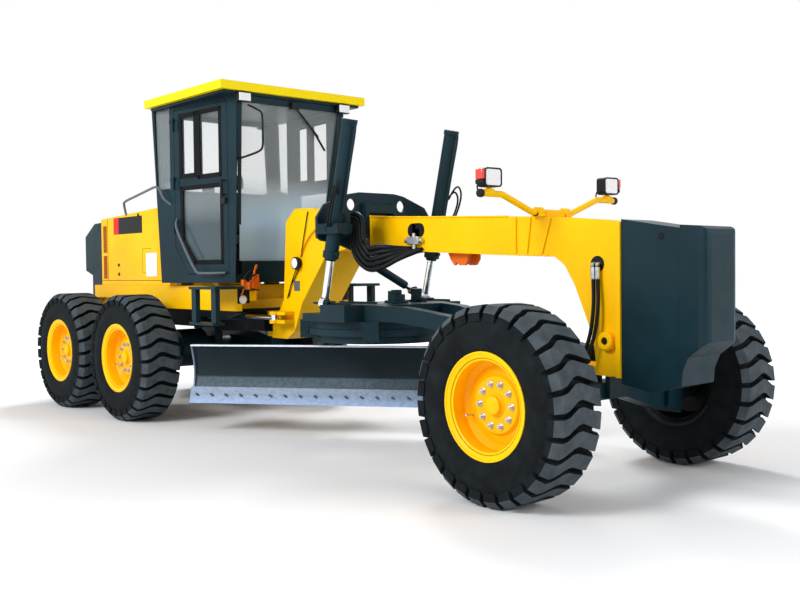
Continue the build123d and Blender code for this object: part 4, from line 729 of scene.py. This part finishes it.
def strip_round(mesh, outline, out, width, depth):
    """A flat strip that follows an outline on the cab's side."""
    outwards = on_side(0, 0, depth) - on_side(0, 0, 0)
    for (s0, z0), (s1, z1) in zip(outline, outline[1:] + outline[:1]):
        run = math.hypot(s1 - s0, z1 - z0)
        a, b = (s1 - s0) / run * width / 2, (z1 - z0) / run * width / 2
        corners = [
            (s0 - a - b, z0 - b + a), (s1 + a - b, z1 + b + a),
            (s1 + a + b, z1 + b - a), (s0 - a + b, z0 - b - a),
        ]
        raise_face(mesh, [on_side(s, z, out - depth) for s, z in corners], outwards)


def door_trim(side_name, side):
    """Pane seals, handle and latch on one door."""
    seal = bmesh.new()
    for outline in PANES:
        strip_round(seal, outline, 0.003, 0.046, 0.006)
    handle = bmesh.new()
    for z in (2.36, 2.50):
        add_bar(handle, on_side(0.215, z, 0.0), on_side(0.215, z, 0.045), 0.009, 12)
    add_bar(handle, on_side(0.215, 2.345, 0.045), on_side(0.215, 2.515, 0.045), 0.011, 16)
    latch = bmesh.new()
    corners = [on_side(s, z, w) for s, z, w in ((0.18, 2.27, 0.0), (0.26, 2.33, 0.022))]
    add_box(latch, [min(a, b) for a, b in zip(*corners)], [max(a, b) for a, b in zip(*corners)])
    for name, mesh, material, slot in (
        ("pane_seals", seal, SEAL, "tyre_rubber"),
        ("door_handle", handle, BLACK_PLASTIC, "console_plastic"),
        ("door_latch", latch, BLACK_PLASTIC, "console_plastic"),
    ):
        if side < 0:
            bmesh.ops.transform(mesh, matrix=Matrix.Diagonal((1, -1, 1, 1)), verts=mesh.verts)
        dress(f"{name}_{side_name}", mesh, f"door_{side_name}", material, bevel=0.002)


def roof_trim():
    """Roof lining, and the work lamps under the roof's front and back edges."""
    low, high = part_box("cab_roof")
    lining = bmesh.new()
    corner = (high.x - 0.04, high.y - 0.05, low.z - 0.0005)
    add_box(lining, (low.x + 0.05, low.y + 0.05, low.z - 0.028), corner)
    dress("roof_underside", lining, "rear_unit", SLATE, bevel=0.008)
    lamps = bmesh.new()
    lenses = bmesh.new()
    rows = (                    # back and front of the cases, and of the lenses
        (high.x - 0.075, high.x - 0.005, high.x - 0.007, high.x + 0.004),
        (low.x + 0.005, low.x + 0.075, low.x - 0.004, low.x + 0.007),
    )
    for y in (-0.62, 0.62):
        for case0, case1, lens0, lens1 in rows:
            add_box(lamps, (case0, y - 0.075, low.z - 0.105), (case1, y + 0.075, low.z - 0.012))
            add_box(lenses, (lens0, y - 0.066, low.z - 0.097), (lens1, y + 0.066, low.z - 0.020))
    dress("work_lamp_cases", lamps, "rear_unit", BLACK_PLASTIC, bevel=0.006)
    dress("work_lamp_lenses", lenses, "rear_unit", CLEAR_LENS, bevel=0.003)


def wiper_trim():
    """The windscreen's wiper, its arm, blade and motor cover."""
    wiper = bmesh.new()
    add_bar(wiper, (-0.445, 0.02, 3.285), (-0.498, 0.360, 3.000), 0.010, 12)
    add_bar(wiper, (-0.475, 0.26, 3.085), (-0.520, 0.46, 2.865), 0.012, 8)
    add_box(wiper, (-0.47, -0.03, 3.25), (-0.41, 0.07, 3.32))
    dress("wiper", wiper, "rear_unit", BLACK_PLASTIC, bevel=0.002)


MIRROR_ARM = [                  # routes on the left side, x, y and height
    (-0.535, 0.640, 2.70), (-0.43, 0.56, 2.735), (-0.33, 0.475, 2.78), (-0.30, 0.465, 2.82),
    (-0.30, 0.465, 2.95), (-0.30, 0.465, 3.14), (-0.32, 0.48, 3.18), (-0.42, 0.56, 3.24),
]
DOOR_GRAB_BAR = [
    (-1.50, 0.765, 2.150), (-1.47, 0.830, 2.110), (-1.30, 0.815, 1.86), (-1.07, 0.800, 1.575),
    (-1.00, 0.790, 1.570), (-0.70, 0.755, 1.570), (-0.66, 0.700, 1.572),
]
GRAB_RAIL = [
    (-3.06, 0.600, 2.270), (-3.05, 0.640, 2.400), (-2.98, 0.655, 2.430), (-2.62, 0.700, 2.462),
    (-2.05, 0.80, 2.505), (-1.80, 0.842, 2.520), (-1.72, 0.842, 2.44), (-1.66, 0.838, 2.36),
    (-1.62, 0.775, 2.31),
]


def cab_bars(side_name, side):
    """The mirror's arm, the door's grab bar and the grab rail on one side."""
    door = f"door_{side_name}"
    for name, points, radius, body, material, slot in (
        ("mirror_arm", MIRROR_ARM, 0.011, "rear_unit", BLACK_PLASTIC, "console_plastic"),
        ("door_grab_bar", DOOR_GRAB_BAR, 0.014, door, GREY_PLASTIC, "dark_paint"),
        ("grab_rail", GRAB_RAIL, 0.014, "rear_unit", GREY_PLASTIC, "dark_paint"),
    ):
        route = [(x, side * y, z) for x, y, z in points]
        hose(f"{name}_{side_name}", route, radius, body, material)


def driver_seat():
    """Suspension seat: cushion, backrest, headrest, arm pads and its boxed base."""
    base = bmesh.new()
    add_box(base, (-1.53, -0.20, 1.530), (-1.13, 0.20, 1.60))
    add_box(base, (-1.50, -0.17, 1.60), (-1.16, 0.17, 1.84))
    for z in (1.65, 1.70, 1.75, 1.80):
        add_box(base, (-1.51, -0.18, z - 0.012), (-1.15, 0.18, z + 0.012))
    dress("seat_base", base, "rear_unit", BLACK_PLASTIC, bevel=0.006)
    parts = [
        ("seat_cushion", (-1.58, -0.25, 1.86), (-1.07, 0.25, 1.99), 0.0, 0.7),
        ("seat_backrest", (-1.63, -0.24, 1.99), (-1.49, 0.24, 2.48), -8.0, 0.7),
        ("seat_headrest", (-1.69, -0.14, 2.50), (-1.59, 0.14, 2.67), -8.0, 0.8),
    ]
    for name, low, high, lean, fill in parts:
        mesh = bmesh.new()
        add_box(mesh, low, high)
        bmesh.ops.subdivide_edges(mesh, edges=mesh.edges, cuts=4, use_grid_fill=True)
        middle = (Vector(low) + Vector(high)) / 2
        half = (Vector(high) - Vector(low)) / 2
        for vert in mesh.verts:
            local = [(vert.co[i] - middle[i]) / half[i] for i in range(3)]
            pull = 1 - 0.05 * local[0] ** 2 * local[1] ** 2 - 0.05 * local[1] ** 2 * local[2] ** 2
            vert.co = middle + (vert.co - middle) * (0.93 * pull + 0.02)
        turn = Matrix.Rotation(math.radians(lean), 3, "Y")
        bmesh.ops.rotate(mesh, cent=(middle.x, 0, low[2]), matrix=turn, verts=mesh.verts)
        piece = dress(name, mesh, "rear_unit", CLOTH)
        smooth = piece.modifiers.new("crown", "SUBSURF")
        smooth.levels = smooth.render_levels = 2
        if name == "seat_cushion":
            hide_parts("seat")
    arms = bmesh.new()
    for y in (-0.30, 0.30):
        add_box(arms, (-1.50, y - 0.035, 2.12), (-1.20, y + 0.035, 2.17))
        add_box(arms, (-1.50, y - 0.015, 1.95), (-1.46, y + 0.015, 2.13))
    dress("seat_arms", arms, "rear_unit", BLACK_PLASTIC, bevel=0.012)


# ---------------------------------------------------------------- hood and radiator housing
def hood_trim():
    """Vent strips, blank plates, seams and latches on both sides of the hood."""
    low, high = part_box("hood")
    y = high.y
    vents = bmesh.new()
    for z0, z1 in ((1.515, 1.80), (1.835, 2.165)):
        count = int((z1 - z0) / 0.019)
        for k in range(count):
            z = z0 + (k + 0.5) * (z1 - z0) / count
            tilt = Matrix.Translation((0, y, z)) @ Matrix.Rotation(math.radians(-28), 4, "X")
            add_box(vents, (-3.70, -0.003, -0.008), (-3.61, 0.006, 0.008), tilt)
    mirrored(vents)
    dress("side_vents", vents, "rear_unit", MAROON, bevel=0.001)
    parts = (
        ("name_plate_blank", BLACK_PLATE, (-3.27, y, 2.05), (-2.66, y + 0.004, 2.250)),
        ("name_plate_bar", RED_PLATE, (-3.41, y, 2.05), (-3.27, y + 0.004, 2.250)),
        ("white_plate", WHITE_PLATE, (-2.57, y, 1.54), (-2.31, y + 0.004, 1.81)),
    )
    for name, material, corner, other in parts:
        mesh = bmesh.new()
        add_box(mesh, corner, other)
        mirrored(mesh)
        dress(name, mesh, "rear_unit", material, bevel=0.0015)
    seams = bmesh.new()
    add_box(seams, (low.x + 0.02, y - 0.001, 1.492), (high.x - 0.02, y + 0.002, 1.498))
    add_box(seams, (-3.585, y - 0.001, 1.50), (-3.579, y + 0.002, 2.25))
    add_box(seams, (-2.66, y - 0.001, 1.58), (-2.45, y + 0.0015, 1.584))
    add_box(seams, (-2.66, y - 0.001, 1.86), (-2.45, y + 0.0015, 1.864))
    add_box(seams, (-2.664, y - 0.001, 1.58), (-2.66, y + 0.0015, 1.864))
    mirrored(seams)
    dress("hood_seams", seams, "rear_unit", BLACK_PLASTIC)
    latches = bmesh.new()
    for x, z in ((-3.28, 1.68), (-3.28, 1.57), (-2.75, 2.26)):
        add_bar(latches, (x, y - 0.002, z), (x, y + 0.008, z), 0.020, 24)
        add_bar(latches, (x, y + 0.007, z), (x, y + 0.012, z), 0.010, 16)
    mirrored(latches)
    dress("hood_latches", latches, "rear_unit", BLACK_PLASTIC, bevel=0.002)


def housing_trim():
    """Louvred grille at the rear of the radiator housing, and tail lamps."""
    grille = bmesh.new()
    for k in range(16):
        z = 1.66 + k * 0.024
        add_box(grille, (-4.342, -0.44, z - 0.006), (-4.322, 0.44, z + 0.006))
    for y in (-0.44, -0.15, 0.15, 0.44):
        add_box(grille, (-4.345, y - 0.012, 1.64), (-4.325, y + 0.012, 2.04))
    dress("housing_grilles", grille, "rear_unit", BLACK_PAINT_AND_SHADE, bevel=0.0015)
    lamps = bmesh.new()
    glass = bmesh.new()
    for y in (-0.40, 0.40):
        add_box(lamps, (-4.46, y - 0.09, 1.18), (-4.40, y + 0.09, 1.28))
        add_box(glass, (-4.472, y - 0.08, 1.19), (-4.458, y + 0.08, 1.27))
    dress("tail_lamp_cases", lamps, "rear_unit", BLACK_PLASTIC, bevel=0.005)
    dress("tail_lamp_lenses", glass, "rear_unit", RED_LENS, bevel=0.003)


# ---------------------------------------------------------------- front frame
BEAM_HALF = 0.145               # half of the beam's width
FLANGE_THICK = 0.013
NOSE_HOLE_X = 3.560             # the hole in the nose's side that two hoses come out of, drawn as a black disc of painted shade
NOSE_HOLE_Z = 1.607
NOSE_PIN_X = 3.655
NOSE_PIN_Z = 1.055


def beam_trim():
    """Ribs, flanges and valve of the beam, black discs of painted shade in its side openings, the lug under
    it and the nose's fittings.
    """
    ribs = bmesh.new()
    half = BEAM_HALF
    places = ((2.755, 0.0, 1.695, 1.985), (2.870, 0.040, 1.690, 1.975), (3.020, 0.090, 1.685, 1.960))
    for x, lean, z0, z1 in places:
        outline = [(x, z0), (x + 0.024, z0), (x + lean + 0.024, z1), (x + lean, z1)]
        add_plate(ribs, outline, "y", half - 0.002, half + 0.014)
    mirrored(ribs)
    dress("beam_ribs", ribs, "front_unit", YELLOW, bevel=0.003)
    flanges = bmesh.new()
    top = [(0.970, 2.0855), (1.120, 2.070), (1.760, 2.040), (2.690, 2.001)]
    bottom = [(1.180, 1.763), (1.760, 1.733), (2.600, 1.691), (3.100, 1.673)]
    for edge, thick in ((top, -FLANGE_THICK), (bottom, FLANGE_THICK)):
        outline = edge + [(x, z + thick) for x, z in reversed(edge)]
        add_plate(flanges, outline, "y", half - 0.002, half + 0.010)
    mirrored(flanges)
    dress("beam_flanges", flanges, "front_unit", YELLOW, bevel=0.002)
    # Painted shade: black discs flush with the beam's side stand for the dark inside of its openings and of
    # the nose's hole.
    openings = bmesh.new()
    for x, z, radius in ((1.555, 1.925, 0.062), (1.645, 1.925, 0.062), (NOSE_HOLE_X, NOSE_HOLE_Z, 0.060)):
        add_bar(openings, (x, half - 0.01, z), (x, half + 0.0035, z), radius, 40)
    add_box(openings, (1.555, half - 0.01, 1.863), (1.645, half + 0.0035, 1.987))
    mirrored(openings)
    dress("beam_openings_painted_shade", openings, "front_unit", BLACK_PAINT_AND_SHADE)
    fitting = bmesh.new()
    add_box(fitting, (1.53, half, 1.80), (1.67, half + 0.05, 1.87))
    add_bar(fitting, (1.49, half + 0.025, 1.835), (1.71, half + 0.025, 1.835), 0.022, 20)
    add_bar(fitting, (1.60, half + 0.025, 1.76), (1.60, half + 0.025, 1.90), 0.018, 20)
    bmesh.ops.transform(fitting, matrix=Matrix.Diagonal((1, -1, 1, 1)), verts=fitting.verts)
    dress("beam_valve", fitting, "front_unit", ZINC, bevel=0.004)
    lugs = bmesh.new()
    outline = [
        (1.92, 1.735), (2.17, 1.722), (2.17, 1.665), (2.13, 1.615),
        (2.06, 1.615), (2.03, 1.64), (2.0, 1.615), (1.955, 1.665),
    ]
    for y0 in (-0.075, 0.045):
        add_plate(lugs, outline, "y", y0, y0 + 0.03)
    dress("under_beam_lug", lugs, "front_unit", ORANGE, bevel=0.003)
    bosses = bmesh.new()
    place = Matrix.Translation((NOSE_PIN_X, half, NOSE_PIN_Z)) @ Matrix.Rotation(-math.pi / 2, 4, "X")
    profile = [(0.028, 0.052), (0.058, 0.052), (0.066, 0.044), (0.072, 0.0), (0.028, 0.0)]
    add_turned(bosses, profile + profile[:1], place, 40)
    mirrored(bosses)
    dress("nose_pin_bosses", bosses, "front_unit", YELLOW)
    pins = bmesh.new()
    pin_end = half + 0.045
    add_bar(pins, (NOSE_PIN_X, -pin_end, NOSE_PIN_Z), (NOSE_PIN_X, pin_end, NOSE_PIN_Z), 0.026, 32)
    dress("nose_pin", pins, "front_unit", BLACK_PAINT_AND_SHADE, bevel=0.003)
    for side_name, side in SIDES:
        for k, shift in enumerate((-0.02, 0.02)):
            y = side * (half + 0.03)
            route = [
                (NOSE_HOLE_X + shift, side * half, NOSE_HOLE_Z + 0.01),
                (NOSE_HOLE_X + shift, y, NOSE_HOLE_Z - 0.015),
                (NOSE_HOLE_X + 0.005 + shift, y, NOSE_HOLE_Z - 0.10),
                (3.585 + shift, side * 0.195, 1.28),
                (3.555 + shift, side * 0.22, 1.02),
                (3.47 + shift, side * 0.26, 0.82),
            ]
            hose(f"nose_hose_{side_name}_{k}", route, 0.0145, "front_unit")
    crimps = bmesh.new()
    for shift in (-0.02, 0.02):
        x = NOSE_HOLE_X + 0.003 + shift
        add_bar(crimps, (x, half + 0.03, NOSE_HOLE_Z - 0.02), (x, half + 0.03, NOSE_HOLE_Z - 0.11), 0.019, 6)
        bend = (x, half + 0.042, NOSE_HOLE_Z - 0.003)
        add_bar(crimps, (x, half - 0.01, NOSE_HOLE_Z + 0.01), bend, 0.014, 12)
    mirrored(crimps)
    dress("nose_hose_crimps", crimps, "front_unit", ZINC, bevel=0.001)


def horn_trim():
    """Lamp and cables on the horn, and its blank plate."""
    y = -0.240
    lamp = bmesh.new()
    place = Matrix.Translation((-0.03, y, 1.66)) @ Matrix.Rotation(math.pi / 2, 4, "X")
    add_turned(lamp, [(0.0001, 0.0), (0.050, 0.0), (0.062, 0.02), (0.062, 0.055), (0.052, 0.062)], place, 32)
    dress("horn_lamp_case", lamp, "front_unit", BLACK_PLASTIC)
    lens = bmesh.new()
    add_turned(lens, [(0.0001, 0.064), (0.03, 0.063), (0.052, 0.058)], place, 32)
    dress("horn_lamp_lens", lens, "front_unit", CLEAR_LENS)
    plate = bmesh.new()
    add_box(plate, (-0.12, y - 0.003, 1.385), (-0.02, y + 0.001, 1.485))
    dress("horn_blank_plate", plate, "front_unit", GREY_PLASTIC, bevel=0.001)
    cables = [                  # points as x, out from the horn's side, and height
        [(0.14, 0.01, 2.16), (0.10, 0.015, 2.0), (0.05, 0.012, 1.84), (0.02, 0.012, 1.72)],
        [(0.42, 0.01, 2.06), (0.25, 0.014, 1.98), (0.10, 0.014, 1.86), (0.03, 0.014, 1.74)],
        [(-0.05, 0.012, 1.62), (-0.12, 0.02, 1.50), (-0.18, 0.012, 1.40), (-0.22, 0.014, 1.31)],
        [(-0.02, 0.012, 1.61), (-0.08, 0.012, 1.52), (-0.16, 0.02, 1.44), (-0.20, 0.014, 1.33)],
    ]
    for k, points in enumerate(cables):
        route = [(x, y - out, z) for x, out, z in points]
        hose(f"horn_cable_{k}", route, 0.0055, "front_unit", SEAL if k != 1 else ORANGE)


def weight_trim():
    """A black disc on each side of the front weight, painted shade for the hole where a lifting pin goes in.
    """
    side_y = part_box("counterweight")[1].y - 0.008
    hole = bmesh.new()
    add_bar(hole, (4.13, side_y - 0.01, 1.79), (4.13, side_y + 0.0025, 1.79), 0.024, 32)
    mirrored(hole)
    dress("weight_hole_painted_shade", hole, "front_unit", BLACK_PAINT_AND_SHADE)


def add_rounded(mesh, place, half_wide, half_high, back, front, corner, rim=None):
    """A lamp's rounded box facing along X in a local place; a rim leaves its front a shallow dish."""
    low, high = (back, -half_wide, -half_high), (front, half_wide, half_high)
    box = bmesh.new()
    add_box(box, low, high)
    along_x = [e for e in box.edges if abs(e.verts[0].co.x - e.verts[1].co.x) > 0.001]
    bmesh.ops.bevel(
        box, geom=along_x, offset=corner, segments=5, profile=0.5, affect="EDGES", material=-1
    )
    if rim:
        face = [f for f in box.faces if f.calc_center_median().x > front - 0.001]
        bmesh.ops.inset_region(box, faces=face, thickness=rim)
        bmesh.ops.translate(box, vec=(-0.016, 0, 0), verts=face[0].verts)
    box.transform(place)
    data = bpy.data.meshes.new("lamp_box")
    box.to_mesh(data)
    box.free()
    mesh.from_mesh(data)
    bpy.data.meshes.remove(data)


def lamp_bar_trim():
    """Caps on the lamp bar, and each lamp's case, lens, turn signal and stalk."""
    bar_x = 3.010
    caps, cases, lenses, signals, stalks = (bmesh.new() for _ in range(5))
    for side in (-1, 1):
        add_bar(caps, (bar_x, side * 0.765, 2.130), (bar_x, side * 0.803, 2.130), 0.031, 24)
        y = side * 0.695
        place = Matrix.Translation((bar_x + 0.005, y, 2.245)) @ Matrix.Rotation(math.radians(-4), 4, "Z")
        add_rounded(cases, place, 0.082, 0.070, -0.048, 0.052, 0.026, 0.011)
        add_rounded(lenses, place, 0.071, 0.059, 0.036, 0.046, 0.018)
        add_box(signals, (-0.030, side * 0.083, -0.015), (0.045, side * 0.112, 0.058), place)
        add_box(cases, (-0.034, side * 0.083, -0.050), (0.040, side * 0.110, -0.016), place)
        add_bar(stalks, (bar_x, y, 2.150), (bar_x, y, 2.180), 0.018, 20)
    clamps = bmesh.new()
    for y in (-0.155, 0.155):
        add_bar(clamps, (bar_x, y - 0.035, 2.012), (bar_x, y + 0.035, 2.012), 0.038, 28)
        add_box(clamps, (bar_x - 0.045, y - 0.035, 1.975), (bar_x + 0.045, y + 0.035, 2.005))
    dress("lamp_bar_caps", caps, "front_unit", BLACK_PLASTIC, bevel=0.008)
    case = dress("head_lamp_cases", cases, "front_unit", BLACK_PLASTIC, bevel=0.006)
    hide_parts("head_lamps")
    dress("head_lamp_lenses", lenses, "front_unit", CLEAR_LENS, bevel=0.004)
    dress("turn_signals", signals, "front_unit", RED_LENS, bevel=0.006)
    dress("lamp_stalks", stalks, "front_unit", YELLOW, bevel=0.003)
    dress("lamp_bar_clamps", clamps, "front_unit", YELLOW, bevel=0.003)
    for side_name, side in SIDES:
        y = side * 0.695
        route = [
            (2.955, y, 2.23), (2.90, y + side * 0.01, 2.22), (2.89, y, 2.16),
            (2.95, y, 2.12), (2.995, y - side * 0.04, 2.118),
        ]
        hose(f"lamp_cable_{side_name}", route, 0.006, "front_unit", SEAL)


# ---------------------------------------------------------------- blade gear
LIFT_TRUNNION = Vector((1.042, 0.610, 1.950))
LIFT_EYE = Vector((0.876, 0.610, 1.290))
LIFT_WAY = (LIFT_TRUNNION - LIFT_EYE).normalized()


def at_side(side, x, y, distance):
    """A place beside a lift cylinder: forwards, outwards, and up along it from its trunnion."""
    place = LIFT_TRUNNION + LIFT_WAY * distance
    return Vector((place.x + x, side * (place.y + y), place.z))


def cylinder_trim():
    """Gland collars, end caps, ports, steel pipes and hoses on the two lift cylinders."""
    for side_name, side in SIDES:
        collars = bmesh.new()
        for start, end, radius, segments in (
            ((0, 0, -0.262), (0, 0, -0.205), 0.074, 40),
            ((0, 0, 0.925), (0, 0, 0.967), 0.071, 40),
            ((0, 0, -0.262), (0, 0, -0.285), 0.052, 32),
            ((0.05, 0, 0.90), (0.095, 0, 0.90), 0.016, 16),
            ((0.05, 0, -0.23), (0.105, 0, -0.23), 0.016, 16),
        ):
            add_bar(collars, at_side(side, *start), at_side(side, *end), radius, segments)
        body = f"lift_barrel_{side_name}"
        dress(f"lift_collars_{side_name}", collars, body, SLATE, bevel=0.003)
        pipe = ((0.095, 0.90), (0.105, 0.86), (0.095, 0.60), (0.095, 0.20), (0.095, 0.14))
        route = [at_side(side, x, 0, distance) for x, distance in pipe]
        hose(f"lift_pipe_{side_name}", route, 0.009, body, SLATE)
    for side_name, side in SIDES:
        for k, out in enumerate((0.0, 0.035)):
            route = [
                at_side(side, 0.02 + out, 0.100, 0.02),
                at_side(side, 0.06 + out, 0.135, 0.10),
                at_side(side, 0.10 + out, 0.150, 0.30 + 0.04 * k),
                at_side(side, 0.06 + out, 0.115, 0.40 + 0.05 * k),
                at_side(side, 0.02 + out, 0.085, 0.34 + 0.05 * k),
                at_side(side, 0.01 + out, 0.062, 0.26 + 0.05 * k),
            ]
            hose(f"lift_hose_{side_name}_{k}", route, 0.009, f"lift_barrel_{side_name}")


def hose_bundle():
    """Five thick hoses that leave the saddle, fall side by side in a deep loop and rise under the beam."""
    for k in range(5):
        fall = 1.03 + 0.040 * k
        droop = 1.575 + 0.047 * k
        route = [
            (0.98, -0.360, 1.95 + 0.035 * k),
            (fall - 0.01, -0.400, 1.96 + 0.035 * k),
            (fall, -0.410, 1.84),
            (fall + 0.06, -0.410, 1.68 + 0.04 * k),
            (1.26, -0.405, droop),
            (1.43 - 0.01 * k, -0.380, droop + 0.03),
            (1.57 - 0.02 * k, -0.310, 1.69 + 0.02 * k),
            (1.70 - 0.02 * k, -0.180 + 0.045 * k, 1.755),
        ]
        hose(f"saddle_hose_{k}", route, 0.023, "front_unit")


BLADE_TURN = Matrix.Rotation(math.radians(BLADE_ANGLE - 90), 4, "Z")
BLADE_PLACE = Matrix.Translation((CIRCLE_X, 0, 0)) @ BLADE_TURN
BLADE_START = -0.106 - 1.83     # the blade's ends along its own line
BLADE_END = -0.106 + 1.83
END_PLATE = 0.016               # thickness of the plates at its ends
BOLT_COUNT = 24


def blade_trim():
    """Bolts of the cutting edge, the blade's top lip and its end plates."""
    bolts = bmesh.new()
    y0, y1 = BLADE_START, BLADE_END
    for k in range(BOLT_COUNT):
        y = y0 + (k + 0.5) * (y1 - y0) / BOLT_COUNT
        foot = BLADE_PLACE @ Vector((-0.011, y, 0.385))
        add_bar(bolts, foot, BLADE_PLACE @ Vector((0.003, y, 0.389)), 0.012, 14)
    dress("edge_bolts", bolts, "blade", CASTING, bevel=0.001)
    lip = bmesh.new()
    add_box(lip, (-0.095, y0, 0.852), (-0.040, y1, 0.870), BLADE_PLACE)
    dress("blade_top_lip", lip, "blade", LIP_STEEL, bevel=0.003)
    ends = bmesh.new()
    arc = [
        (0.0, 0.30), (-0.055, 0.37), (-0.098, 0.48), (-0.112, 0.585),
        (-0.098, 0.70), (-0.064, 0.80), (-0.040, 0.87),
    ]
    outline = arc + [(x - 0.045, z) for x, z in reversed(arc)]
    along = BLADE_PLACE.to_3x3() @ Vector((0, END_PLATE, 0))
    for y in (y0, y1 - END_PLATE):
        raise_face(ends, [BLADE_PLACE @ Vector((x, y, z)) for x, z in outline], along)
    dress("blade_ends", ends, "blade", EDGE_STEEL, bevel=0.001)


def circle_trim():
    """Teeth inside the turntable ring, and the drive's gearbox over the drawbar."""
    teeth = bmesh.new()
    place = Matrix.Translation((CIRCLE_X, 0, 1.030))
    for k in range(64):
        turn = place @ Matrix.Rotation(k * math.tau / 64, 4, "Z")
        add_box(teeth, (0.478, -0.012, -0.028), (0.502, 0.012, 0.028), turn)
    dress("circle_teeth", teeth, "circle", CASTING, bevel=0.002)
    drive = bmesh.new()
    add_bar(drive, (1.16, 0, 1.280), (1.16, 0, 1.305), 0.11, 40)
    add_bar(drive, (1.16, 0, 1.305), (1.16, 0, 1.360), 0.080, 40)
    add_bar(drive, (1.16, 0, 1.360), (1.16, 0, 1.400), 0.050, 32)
    add_box(drive, (1.07, -0.03, 1.355), (1.16, 0.03, 1.390))
    dress("circle_drive", drive, "drawbar", SLATE, bevel=0.006)


def drawbar_trim():
    """Thin ribs along the drawbar's table."""
    mesh = bmesh.new()
    for y in (-0.60, -0.30, 0.30, 0.60):
        outline = [(0.70, 1.281), (1.24, 1.281), (1.24, 1.30), (0.70, 1.30)]
        add_plate(mesh, outline, "y", y - 0.008, y + 0.008)
    dress("table_ribs", mesh, "drawbar", SLATE, bevel=0.003)


def deck_end_trim():
    """Black plates on the deck's front ends, and the small lamp on one of them."""
    plates = bmesh.new()
    add_box(plates, (-0.452, 0.555, 1.265), (-0.444, 0.695, 1.435))
    mirrored(plates)
    dress("deck_end_plates", plates, "rear_unit", BLACK_PAINT_AND_SHADE, bevel=0.002)
    lamp = bmesh.new()
    place = Matrix.Translation((-0.446, -0.635, 1.305)) @ Matrix.Rotation(math.pi / 2, 4, "Y")
    add_turned(lamp, [(0.0001, 0.020), (0.028, 0.018), (0.042, 0.008), (0.044, 0.0)], place, 32)
    dress("deck_lamp", lamp, "rear_unit", CLEAR_LENS)


VALVE_X = -0.415                # middle of the valve group by the frame's joint


def joint_valves():
    """Orange valves by the frame's joint, their bracket and their hoses."""
    valves = bmesh.new()
    blocks = (                  # y, height and half of the size
        (-0.500, 1.515, 0.040), (-0.545, 1.455, 0.042), (-0.600, 1.440, 0.040),
        (-0.500, 1.435, 0.034), (-0.645, 1.475, 0.028), (-0.510, 1.575, 0.024),
    )
    for k, (y, z, half) in enumerate(blocks):
        turn = Matrix.Translation((VALVE_X, y, z)) @ Matrix.Rotation(0.5 * k, 4, "Z")
        add_box(valves, (-half * 0.7, -half * 0.6, -half), (half * 0.7, half * 0.6, half), turn)
        add_bar(valves, turn @ Vector((0, 0, 0)), turn @ Vector((0.040, 0, half * 0.6)), 0.013, 12)
    dress("joint_valves", valves, "rear_unit", ORANGE, bevel=0.004)
    bracket = bmesh.new()
    add_box(bracket, (-0.450, -0.660, 1.392), (-0.380, -0.480, 1.402))
    dress("joint_valve_bracket", bracket, "rear_unit", BLACK_PAINT_AND_SHADE, bevel=0.002)
    routes = [
        [
            (VALVE_X, -0.500, 1.54), (-0.38, -0.51, 1.60), (-0.38, -0.55, 1.61),
            (-0.40, -0.61, 1.57), (VALVE_X, -0.645, 1.49),
        ],
        [
            (VALVE_X, -0.545, 1.48), (-0.37, -0.55, 1.55), (-0.38, -0.52, 1.65),
            (-0.40, -0.49, 1.64), (VALVE_X, -0.510, 1.59),
        ],
        [
            (VALVE_X, -0.600, 1.46), (-0.37, -0.60, 1.52), (-0.36, -0.57, 1.54),
            (-0.38, -0.53, 1.56), (VALVE_X, -0.505, 1.53),
        ],
        [
            (VALVE_X, -0.645, 1.46), (-0.38, -0.665, 1.43), (-0.39, -0.67, 1.38),
            (-0.42, -0.66, 1.36), (-0.446, -0.655, 1.355),
        ],
    ]
    for k, route in enumerate(routes):
        hose(f"joint_valve_hose_{k}", route, 0.009, "rear_unit", ORANGE if k % 2 else HOSE)


def axle_trim():
    """Tie rod of the front axle, with its ball joints."""
    rod = bmesh.new()
    add_bar(rod, (3.30, -0.80, 0.60), (3.30, 0.80, 0.60), 0.024, 20)
    for y in (-0.80, 0.80):
        add_bar(rod, (3.30, y, 0.565), (3.30, y, 0.635), 0.036, 24)
        add_box(rod, (3.30, y - 0.02, 0.585), (3.42, y + 0.02, 0.615))
    dress("tie_rod", rod, "front_axle", SLATE, bevel=0.003)


make_camera()
make_stage()
finish_cad_nodes()
for axle, axle_x in AXLES:
    for side_name, side in SIDES:
        treaded_tyre(axle, axle_x, side_name, side)
        wheel_fittings(axle, axle_x, side_name, side)
for side_name, side in SIDES:
    door_trim(side_name, side)
roof_trim()
wiper_trim()
for side_name, side in SIDES:
    cab_bars(side_name, side)
driver_seat()
hood_trim()
housing_trim()
beam_trim()
horn_trim()
weight_trim()
lamp_bar_trim()
cylinder_trim()
hose_bundle()
blade_trim()
circle_trim()
drawbar_trim()
deck_end_trim()
joint_valves()
axle_trim()
